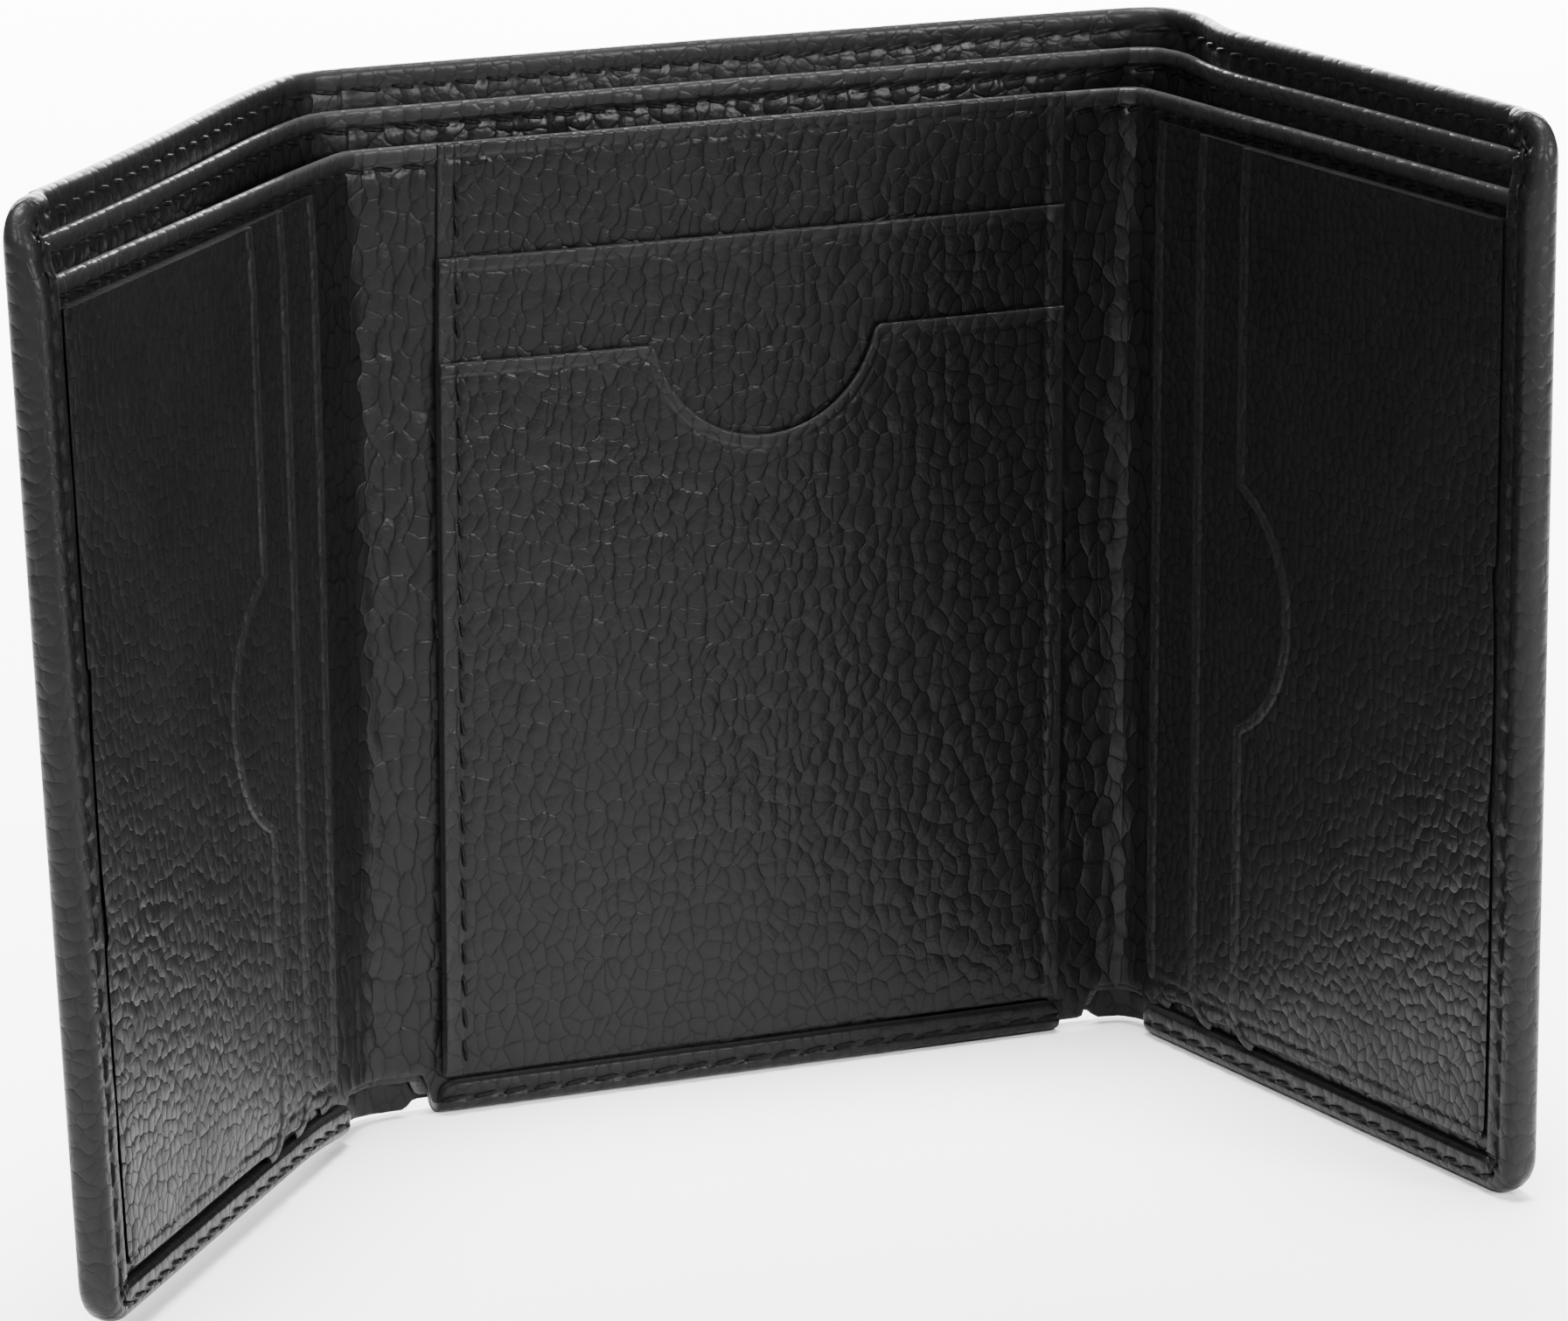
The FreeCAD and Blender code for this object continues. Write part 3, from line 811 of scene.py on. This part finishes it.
def pocket_piece(name, place, edge, fall, reach, back, front, side, material, pillow):
    """A pocket leaf behind a free edge line.

    A row at distance e from the edge stands at the edge plus c (1 - exp(-e / c)) along the edge's own
    normal and the rest of e along the fall, so rows follow a notch near it and straighten further in.
    side is each column's distance from the leaf's free sides; the leaf is rounded off there too. The
    edge stands off the layer behind by a lift that falls off exponentially with e.
    """
    far = np.linspace(0.0, 1.0, 28)[1:]
    rows = np.broadcast_to(EDGE_ROWS, (len(edge), len(EDGE_ROWS)))
    rest = EDGE_ROWS[-1] + (reach[:, None] - EDGE_ROWS[-1]) * far
    e = np.concatenate([rest[:, ::-1], rows[:, ::-1]], axis=1)
    bend = 1.3
    turned = bend * (1.0 - np.exp(-e / bend))
    normal = edge_normals(edge, fall)
    flat = edge[:, None, :] + normal[:, None, :] * turned[..., None]
    flat = flat + np.asarray(fall) * (e - turned)[..., None]
    half = (front - back) / 2.0
    near = np.minimum(e, side[:, None])
    bottom = reach[:, None] - e
    bead = 0.10 * (1.0 - smooth(e, 1.25, 1.5)) + 0.08 * (1.0 - smooth(side[:, None], 1.7, 2.0))
    crease = 0.09 * bell(e, 1.45, 0.22) + 0.10 * bell(side[:, None] + 0.0 * e, 2.05, 0.3)
    thick = half + bead / 2.0
    rim = np.minimum(np.minimum(near, bottom) / thick, 1.0)
    roll = np.sqrt(np.clip(1.0 - (1.0 - rim) ** 2, 0.01, 1.0))
    lift = pillow(flat[..., 0], flat[..., 1])
    lift = lift + EDGE_LIFT * np.exp(-e / EDGE_LIFT_RUN) * smooth(side[:, None] + 0.0 * e, 1.5, 9.0)
    middle = (front + back) / 2.0 + bead / 2.0 + lift
    outer, inner = middle + thick * roll - crease, middle - thick * roll
    across = np.concatenate([flat[..., 0], flat[:, ::-1, 0]], axis=1)
    up = np.concatenate([flat[..., 1], flat[:, ::-1, 1]], axis=1)
    depth = np.concatenate([outer, inner[:, ::-1]], axis=1)
    # Lighter colour along the free edges and sides: partly wear, partly a painted highlight on the folded
    # edges.
    wear_and_highlight = np.exp(-np.minimum(near, 9.0) / 0.7)
    wear_and_highlight = np.concatenate([wear_and_highlight, wear_and_highlight[:, ::-1]], axis=1) * 0.45
    points = place(across, depth, up).reshape(-1, 3)
    attributes = hide_attributes(across, up, depth, 0.0 * up, wear_and_highlight)
    return write_mesh(name, points, sleeve_faces(*up.shape), attributes, material)


STACK_HALF = 35.0
POCKET_FLOOR = 4.2
MIDDLE_TOP, LOWER_TOP = 88.7, 78.1
POCKET_THICK = 0.43
NOTCH_RADIUS = 12.5
NOTCH_RISE = 2.2
NOTCH_MIDDLE = 0.8
NOTCH_SOFTNESS = 0.9


def side_refined(half):
    """Columns from side to side, closer together at the two free sides."""
    inner = np.linspace(-half + SIDE_STEPS[-1], half - SIDE_STEPS[-1], 112)
    return np.concatenate([-half + SIDE_STEPS[:-1], inner, (half - SIDE_STEPS[:-1])[::-1]])


def centre_bulge(across, up):
    """A pocket's slight fullness between its side seams and above its floor."""
    full = np.clip(1.0 - (across / STACK_HALF) ** 2, 0.0, 1.0) * smooth(up, 6.0, 40.0)
    return 0.12 * full + 0.5 * ripple(across * 1.3, up)


columns = side_refined(STACK_HALF)
side_gap = STACK_HALF - np.abs(columns)
slack = {"lean": front_wall["lean"]}
for label, top, back in (
    ("top_pocket", WALL_TOP, 1.72),
    ("middle_pocket", MIDDLE_TOP, 2.15),
    ("lower_pocket", LOWER_TOP, 2.60),
):
    edge_up = np.full(len(columns), top)
    if label == "lower_pocket":
        aside = np.abs(columns - NOTCH_MIDDLE)
        circle = top + NOTCH_RISE - np.sqrt(np.clip(NOTCH_RADIUS**2 - aside**2, 0.0, None))
        circle = np.where(aside < NOTCH_RADIUS, circle, top + 9.0)
        edge_up = (edge_up + circle - np.sqrt((edge_up - circle) ** 2 + NOTCH_SOFTNESS)) / 2.0
        edge_up = np.minimum(edge_up, top)
    piece = pocket_piece(
        f"centre_{label}_leaf",
        lambda across, depth, up: lay_centre(across, depth, up, slack),
        np.stack([columns, edge_up], axis=-1),
        (0.0, -1.0),
        edge_up - POCKET_FLOOR,
        back,
        back + POCKET_THICK,
        side_gap,
        pocket_leather,
        centre_bulge,
    )
    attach(piece, "centre")
    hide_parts(f"centre_{label}")

WING_TOP = 97.4
WING_FLOOR = 3.75
WING_CORNER = 4.0
POCKET_START = {"left": 5.2, "right": 2.2}
POCKET_STEP = 8.7
WING_POCKET_THICK = 0.42
HEM_COVERS = 4.53
WING_NOTCH_RADIUS = 13.0
WING_NOTCH_RISE = 4.0
WING_NOTCH_MIDDLE = 50.0
wing_slack = {"lean": 0.0, "gape": {"left": 0.9, "right": 0.2}, "soft": 1.0}


def wing_edge(begin, notched):
    """The free edge of a wing pocket: a round lower corner, then upright, with a round notch."""
    angle = np.linspace(0.0, np.pi / 2.0, 14)[:-1]
    corner = np.stack(
        [begin + WING_CORNER * (1.0 - np.sin(angle)), WING_FLOOR + WING_CORNER * (1.0 - np.cos(angle))],
        axis=-1,
    )
    up = np.linspace(WING_FLOOR + WING_CORNER, WING_TOP, 150)
    across = np.full(len(up), begin)
    if notched:
        bow = np.sqrt(np.clip(WING_NOTCH_RADIUS**2 - (up - WING_NOTCH_MIDDLE) ** 2, 0.0, None))
        circle = begin - WING_NOTCH_RISE + bow
        across = (across + circle + np.sqrt((across - circle) ** 2 + NOTCH_SOFTNESS)) / 2.0
    return np.concatenate([corner, np.stack([across, up], axis=-1)])


for fold in (LEFT, RIGHT):
    for number, label in enumerate(("inner_pocket", "middle_pocket", "outer_pocket")):
        begin = POCKET_START[fold.side] + POCKET_STEP * number
        edge = wing_edge(begin, label == "outer_pocket")
        back = 1.72 + 0.44 * number
        side_gap = np.maximum(np.minimum(edge[:, 1] - WING_FLOOR, WING_TOP - edge[:, 1]), 0.0)
        piece = pocket_piece(
            f"{fold.side}_wing_{label}_leaf",
            lambda across, depth, up: lay_round(fold, fold.wing + across, depth, up, wing_slack),
            edge,
            (1.0, 0.0),
            REACH - HEM_COVERS - edge[:, 0],
            back,
            back + WING_POCKET_THICK,
            side_gap + 2.6 * (edge[:, 1] > WING_FLOOR + 2.6),
            wing_leather,
            lambda across, up: 0.5 * ripple(across * 1.7, up),
        )
        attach(piece, f"{fold.side}_wing")
        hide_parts(f"{fold.side}_wing_{label}")


# ------------------------------------------------------------------ hems
# The cover's own edge, skived and turned over the layers: along the bottom of each panel and up the
# outer side of each wing, where it is gathered in small pleats round the corners, and sewn through.
# The cover's cowhide, skived and stretched round the edge, which flattens its pebbles.
hem_leather = leather(
    "turned_cowhide_hem", ("#030303", "#0E0E0E", "#1E1E1E"), (1.5, 0.55, 4.0), (0.11, 0.016, 0.12), 0.36
)
WRAP = 1.3
HEM_THICK = 0.95
BOTTOM_HEM = 3.6
SIDE_HEM = 4.5
HEM_FRONT = 2.7
HEM_SEAM = 1.75
HEM_END = 1.8


def hem_piece(name, place, outline, inward, width, front, seam, pleat, travel):
    """A C-shaped section swept along the wallet's outline.

    From the back face the section follows half an ellipse round the edge, crosses the front at a
    level depth and ends at its width; the inner side is the same line, one leather thickness within.
    pleat raises radial ridges; travel is the distance along the outline.
    """
    angle = np.linspace(-np.pi / 2.0, np.pi / 2.0, 13)
    share = np.linspace(0.0, 1.0, 19)[1:]
    middle, half = (front - 1.0) / 2.0, (front + 1.0) / 2.0
    wrap_n = WRAP * (1.0 - np.cos(angle)) + 0.0 * front[:, None]
    wrap_d = middle[:, None] + half[:, None] * np.sin(angle)
    flap_n = WRAP + (width[:, None] - WRAP) * share
    left_over = width[:, None] - flap_n
    groove = (0.11 + 0.24 * needle_holes(travel)[:, None]) * bell(flap_n, seam[:, None], 0.5)
    swell = 0.10 * np.sin(np.pi * share)
    end = 0.35 * (1.0 - smooth(left_over, 0.0, 0.45))
    ridge = pleat[:, None] * smooth(flap_n, 0.6, 3.0)
    flap_d = front[:, None] + swell - groove - end + ridge
    outer_n = np.concatenate([wrap_n, flap_n], axis=1)
    outer_d = np.concatenate([wrap_d, flap_d], axis=1)
    inner_n = np.concatenate([wrap_n + 0.9 * np.cos(angle), flap_n], axis=1)
    wrap_inner = middle[:, None] + (half[:, None] - HEM_THICK) * np.sin(angle)
    inner_d = np.concatenate([wrap_inner, front[:, None] - HEM_THICK + 0.0 * flap_n], axis=1)
    n = np.concatenate([outer_n, inner_n[:, ::-1]], axis=1)
    depth = np.concatenate([outer_d, inner_d[:, ::-1]], axis=1)
    flat = outline[:, None, :] + inward[:, None, :] * n[..., None]
    points = place(flat[..., 0], depth, flat[..., 1]).reshape(-1, 3)
    # Lighter colour round the turned edge and along the flap's cut edge: partly wear, partly a painted
    # highlight.
    wear_and_highlight = 0.5 * bell(n, 0.0, 0.9) + 0.6 * bell(n, width[:, None], 0.35)
    hide = hide_attributes(travel[:, None] + 0.0 * n, n + depth, depth, 0.0, wear_and_highlight)
    return write_mesh(name, points, sleeve_faces(*n.shape), hide, hem_leather)


def round_ends(travel, length, radius):
    """1 along a hem and falling in a quarter circle at its two ends."""
    near = np.clip(np.minimum(travel, length - travel) / radius, 0.0, 1.0)
    return np.sqrt(np.clip(1.0 - (1.0 - near) ** 2, 0.0, 1.0))


hem_slack = {"lean": 0.0, "gape": {"left": 0.0, "right": 0.0}, "soft": 0.8}
half_hem = STACK_HALF + 0.5
travel = np.concatenate([[0.0, 0.1, 0.3, 0.6, 1.0, 1.4], np.linspace(1.8, 2 * half_hem - 1.8, 128)])
travel = np.concatenate([travel, 2 * half_hem - travel[5::-1]])
ends = round_ends(travel, 2 * half_hem, HEM_END)
centre_hem = hem_piece(
    "centre_hem",
    lambda across, depth, up: lay_centre(across, depth, up, hem_slack),
    np.stack([travel - half_hem, 0.0 * travel], axis=-1),
    np.stack([0.0 * travel, 1.0 + 0.0 * travel], axis=-1),
    WRAP + 0.2 + (BOTTOM_HEM - WRAP - 0.2) * ends,
    HEM_FRONT - 0.4 * (1.0 - ends),
    HEM_SEAM + 0.0 * travel,
    0.05 * np.sin(travel / 1.9) * np.sin(travel / 5.3),
    travel - half_hem,
)
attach(centre_hem, "centre")
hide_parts("centre_bottom_hem")

HEM_START = 1.6
HEM_FINISH = 2.2


def wing_outline():
    """A wing's outline as points, inward normals, distance and place in each corner, from the fold
    along the bottom, round the outer side's two corners and a little way back along the top."""
    bottom = np.linspace(2.4, REACH - CORNER - HEM_START, 110)
    bottom = np.concatenate([[0.0, 0.1, 0.3, 0.6, 1.0, 1.4, 1.8], bottom])
    angle = np.linspace(0.0, np.pi / 2.0, 26)
    side = np.linspace(CORNER, HEIGHT - CORNER, 180)
    top = np.linspace(0.0, HEM_FINISH, 9)
    centre_low = np.array([REACH - CORNER, CORNER])
    centre_high = np.array([REACH - CORNER, HEIGHT - CORNER])
    out_low = np.stack([np.sin(angle), -np.cos(angle)], axis=-1)
    out_high = np.stack([np.cos(angle), np.sin(angle)], axis=-1)
    points = [
        np.stack([bottom + HEM_START, 0.0 * bottom], axis=-1),
        (centre_low + CORNER * out_low)[1:],
        np.stack([REACH + 0.0 * side, side], axis=-1)[1:],
        (centre_high + CORNER * out_high)[1:],
        np.stack([REACH - CORNER - top, HEIGHT + 0.0 * top], axis=-1)[1:],
    ]
    normals = [
        np.tile([0.0, 1.0], (len(bottom), 1)),
        -out_low[1:],
        np.tile([-1.0, 0.0], (len(side) - 1, 1)),
        -out_high[1:],
        np.tile([0.0, -1.0], (len(top) - 1, 1)),
    ]
    rounded = np.sin(2.0 * angle)[1:]
    turn = [0.0 * bottom, rounded, 0.0 * side[1:], rounded, 0.0 * top[1:]]
    points = np.concatenate(points)
    step = np.linalg.norm(np.diff(points, axis=0), axis=1)
    return points, np.concatenate(normals), np.concatenate([[0.0], np.cumsum(step)]), np.concatenate(turn)


outline, inward, travel, turn = wing_outline()
length = travel[-1]
ends = round_ends(travel, length, HEM_END)
rise = outline[:, 1]
on_side = smooth(outline[:, 0], REACH - CORNER, REACH - 1.5)
hem_width = (BOTTOM_HEM + (SIDE_HEM - BOTTOM_HEM) * on_side) * (1.0 - 0.13 * turn)
hem_width = WRAP + 0.2 + (hem_width - WRAP - 0.2) * ends
hem_front = HEM_FRONT - 0.55 * smooth(rise, 99.5, 102.5) - 0.7 * smooth(rise, 103.6, 106.5)
hem_front = hem_front - 0.4 * (1.0 - ends)
hem_seam = HEM_SEAM + 0.75 * on_side
corner_turn = np.where(turn > 0.0, np.unwrap(np.arctan2(inward[:, 1], inward[:, 0])), 0.0)
pleats = 0.22 * turn * np.cos(13.0 * corner_turn) + 0.04 * np.sin(travel / 1.7) * np.sin(travel / 6.1)
for fold in (LEFT, RIGHT):
    piece = hem_piece(
        f"{fold.side}_wing_hem",
        lambda across, depth, up: lay_round(fold, fold.wing + across, depth, up, hem_slack),
        outline,
        inward,
        hem_width,
        hem_front,
        hem_seam,
        pleats,
        travel,
    )
    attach(piece, f"{fold.side}_wing")
    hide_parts(f"{fold.side}_wing_bottom_hem", f"{fold.side}_wing_side_hem")


# ------------------------------------------------------------------ stitching
# Bonded black polyester thread, about 0.45 mm thick, sewn at seven or eight stitches to the inch. Each
# stitch is a short slack loop that dives into the leather at its two needle holes, slightly slanted.
def sewing_thread():
    """Twisted polyester, as black as the hide: fine diagonal plies along each stitch, a soft gloss."""
    material, tree = new_material("bonded_polyester_thread")
    place = add_node(tree, "ShaderNodeAttribute", {"attribute_name": "hide"})
    ply = add_node(
        tree,
        "ShaderNodeTexWave",
        {"bands_direction": "DIAGONAL"},
        Vector=place.outputs["Vector"],
        Scale=0.31 / (0.5 * MM),
        Distortion=1.0,
    )
    two_tone(
        tree, ply.outputs["Fac"], ("#030303", "#0B0B0B"), 0.5, 0.08, Roughness=0.55, Specular_IOR_Level=0.06
    )
    return material


thread = sewing_thread()
STITCH_HALF = 1.35
THREAD_RADIUS = 0.25
SLANT = 0.16
RINGS, SPOKES = 7, 6


def stitch_faces(count):
    """Quads of one stitch's rings and of its two closed ends, two to an end, repeated."""
    ring = np.arange(RINGS * SPOKES).reshape(RINGS, SPOKES)
    a, b = ring[:-1], ring[1:]
    around = np.stack([a, b, np.roll(b, -1, axis=1), np.roll(a, -1, axis=1)], axis=-1).reshape(-1, 4)
    caps = np.array([[0, 1, 2, 5], [2, 3, 4, 5]])
    last = (RINGS - 1) * SPOKES
    one = np.concatenate([around, caps, caps[:, ::-1] + last])
    return (one[None] + (np.arange(count) * RINGS * SPOKES)[:, None, None]).reshape(-1, 4)


def stitches(at, way, depth, outward):
    """Points of stitches at places on the flat hide: (across, depth, up) for every ring's spokes.

    A stitch's line rises above the face in the middle and falls below it at the ends with the fourth
    power of the distance, and its radius shrinks a little there.
    """
    t = np.linspace(-1.0, 1.0, RINGS)
    spoke = np.arange(SPOKES) * 2.0 * np.pi / SPOKES
    radius = THREAD_RADIUS * (1.0 - 0.45 * t**4)
    aside = np.array([-way[:, 1], way[:, 0]]).T
    line = way[:, None, :] * (STITCH_HALF * t)[None, :, None]
    line = line + aside[:, None, :] * (SLANT * STITCH_HALF * t)[None, :, None]
    flat = at[:, None, None, :] + line[:, :, None, :]
    flat = flat + aside[:, None, None, :] * (radius[:, None] * np.cos(spoke))[None, :, :, None]
    lift = 0.02 - 0.34 * t**4
    out = depth[:, None, None] + outward * (lift[:, None] + radius[:, None] * np.sin(spoke))[None]
    return flat[..., 0].reshape(-1), out.reshape(-1), flat[..., 1].reshape(-1)


def stitch_row(start, end):
    """Stitch centres along a line of the hide, at whole multiples of the pitch."""
    first, last = math.ceil(start / PITCH + 0.01), math.floor(end / PITCH - 0.01)
    return np.arange(first, last + 1) * PITCH


def stitch_piece(name, rows, place):
    """One object for a group of seams; each row is centres, directions, face depths and the side."""
    parts = [stitches(*row) for row in rows]
    across = np.concatenate([p[0] for p in parts])
    depth = np.concatenate([p[1] for p in parts])
    up = np.concatenate([p[2] for p in parts])
    points = place(across, depth, up)
    count = len(across) // (RINGS * SPOKES)
    attributes = {"hide": np.stack([across, up, depth], axis=-1) * MM}
    piece = write_mesh(name, points, stitch_faces(count), attributes, thread)
    return piece


def top_row(sheet, fold, start, end, face):
    """A seam along a long sheet's top edge, on its front (1) or back (-1)."""
    centres = stitch_row(start, end)
    up = sheet["high"](fold, centres) - sheet["seam"]
    drop = np.full(len(centres), sheet["seam"])
    front, back = sheet_faces(sheet, fold.sign * centres, drop, up, fold_crease(fold, centres))
    depth = front if face > 0 else back
    way = np.tile([1.0, 0.0], (len(centres), 1))
    return np.stack([centres, up], axis=-1), way, depth, float(face)


SEWN = (("cover", cover, (1, -1)), ("divider", divider, (1,)), ("wall", front_wall, (1,)))
for fold in (LEFT, RIGHT):
    joint = fold.line + fold.width / 2.0
    for part, hinge, start, end in (
        ("half", "near", 0.0, joint),
        ("wing", "far", joint, fold.end - 5.2),
    ):
        for label, sheet, faces in SEWN:
            first = start
            if part == "half" and label == "wall":
                first = STACK_HALF - 0.5
            elif part == "half" and fold is LEFT:
                first = -0.9 * PITCH
            piece = stitch_piece(
                f"{fold.side}_{part}_{label}_stitching",
                [top_row(sheet, fold, first, end, face) for face in faces],
                lambda along, depth, up: lay_round(fold, along, depth, up, sheet),
            )
            bend_with(piece, fold, hinge)
            if part == "half":
                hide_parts("centre_edge_stitching")
            else:
                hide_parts(f"{fold.side}_spine_stitching", f"{fold.side}_wing_edge_stitching")


def upright_row(across, low, high, depth, outward=1.0):
    """A seam up a panel at one place across it."""
    up = stitch_row(low, high)
    at = np.stack([np.full(len(up), across), up], axis=-1)
    return at, np.tile([0.0, 1.0], (len(up), 1)), np.full(len(up), depth), outward


def level_row(low, high, up, depth, outward=1.0):
    """A seam along a panel at one height."""
    across = stitch_row(low, high)
    at = np.stack([across, np.full(len(across), up)], axis=-1)
    return at, np.tile([1.0, 0.0], (len(across), 1)), np.full(len(across), depth), outward


pocket_rows = [level_row(-STACK_HALF + 2.4, STACK_HALF - 2.4, WALL_TOP - front_wall["seam"], 2.18)]
for across in (-STACK_HALF + 2.05, STACK_HALF - 2.05):
    pocket_rows.append(upright_row(across, POCKET_FLOOR + 1.0, LOWER_TOP - 0.6, 3.02))
    pocket_rows.append(upright_row(across, LOWER_TOP + 0.4, MIDDLE_TOP - 0.7, 2.58))
    pocket_rows.append(upright_row(across, MIDDLE_TOP + 0.3, WALL_TOP - 3.3, 2.15))
piece = stitch_piece(
    "centre_pocket_thread", pocket_rows, lambda a, d, u: lay_centre(a, d, u, slack)
)
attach(piece, "centre")
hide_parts("centre_pocket_stitching")

hem_rows = [
    level_row(-STACK_HALF + 0.5, STACK_HALF - 0.5, HEM_SEAM, HEM_FRONT - 0.02),
    level_row(-STACK_HALF + 0.5, STACK_HALF - 0.5, HEM_SEAM, -1.0, -1.0),
]
piece = stitch_piece("centre_hem_thread", hem_rows, lambda a, d, u: lay_centre(a, d, u, hem_slack))
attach(piece, "centre")
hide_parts("centre_hem_stitching")


def along_hem(depths, outward):
    """A seam that follows a wing's whole hem, at the seam's distance from the edge."""
    centres = stitch_row(2.0, length - 3.0)
    at = [np.interp(centres, travel, values) for values in outline.T]
    way_in = [np.interp(centres, travel, values) for values in inward.T]
    way_in = np.stack(way_in, axis=-1)
    way_in /= np.linalg.norm(way_in, axis=1, keepdims=True)
    inset = np.interp(centres, travel, hem_seam)
    places = np.stack(at, axis=-1) + way_in * inset[:, None]
    way = np.stack([way_in[:, 1], -way_in[:, 0]], axis=-1)
    return places, way, np.interp(centres, travel, depths), outward


for fold in (LEFT, RIGHT):
    piece = stitch_piece(
        f"{fold.side}_wing_hem_thread",
        [along_hem(hem_front - 0.02, 1.0), along_hem(-1.0 + 0.0 * hem_front, -1.0)],
        lambda across, depth, up: lay_round(fold, fold.wing + across, depth, up, hem_slack),
    )
    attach(piece, f"{fold.side}_wing")
    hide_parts(f"{fold.side}_wing_hem_stitching")
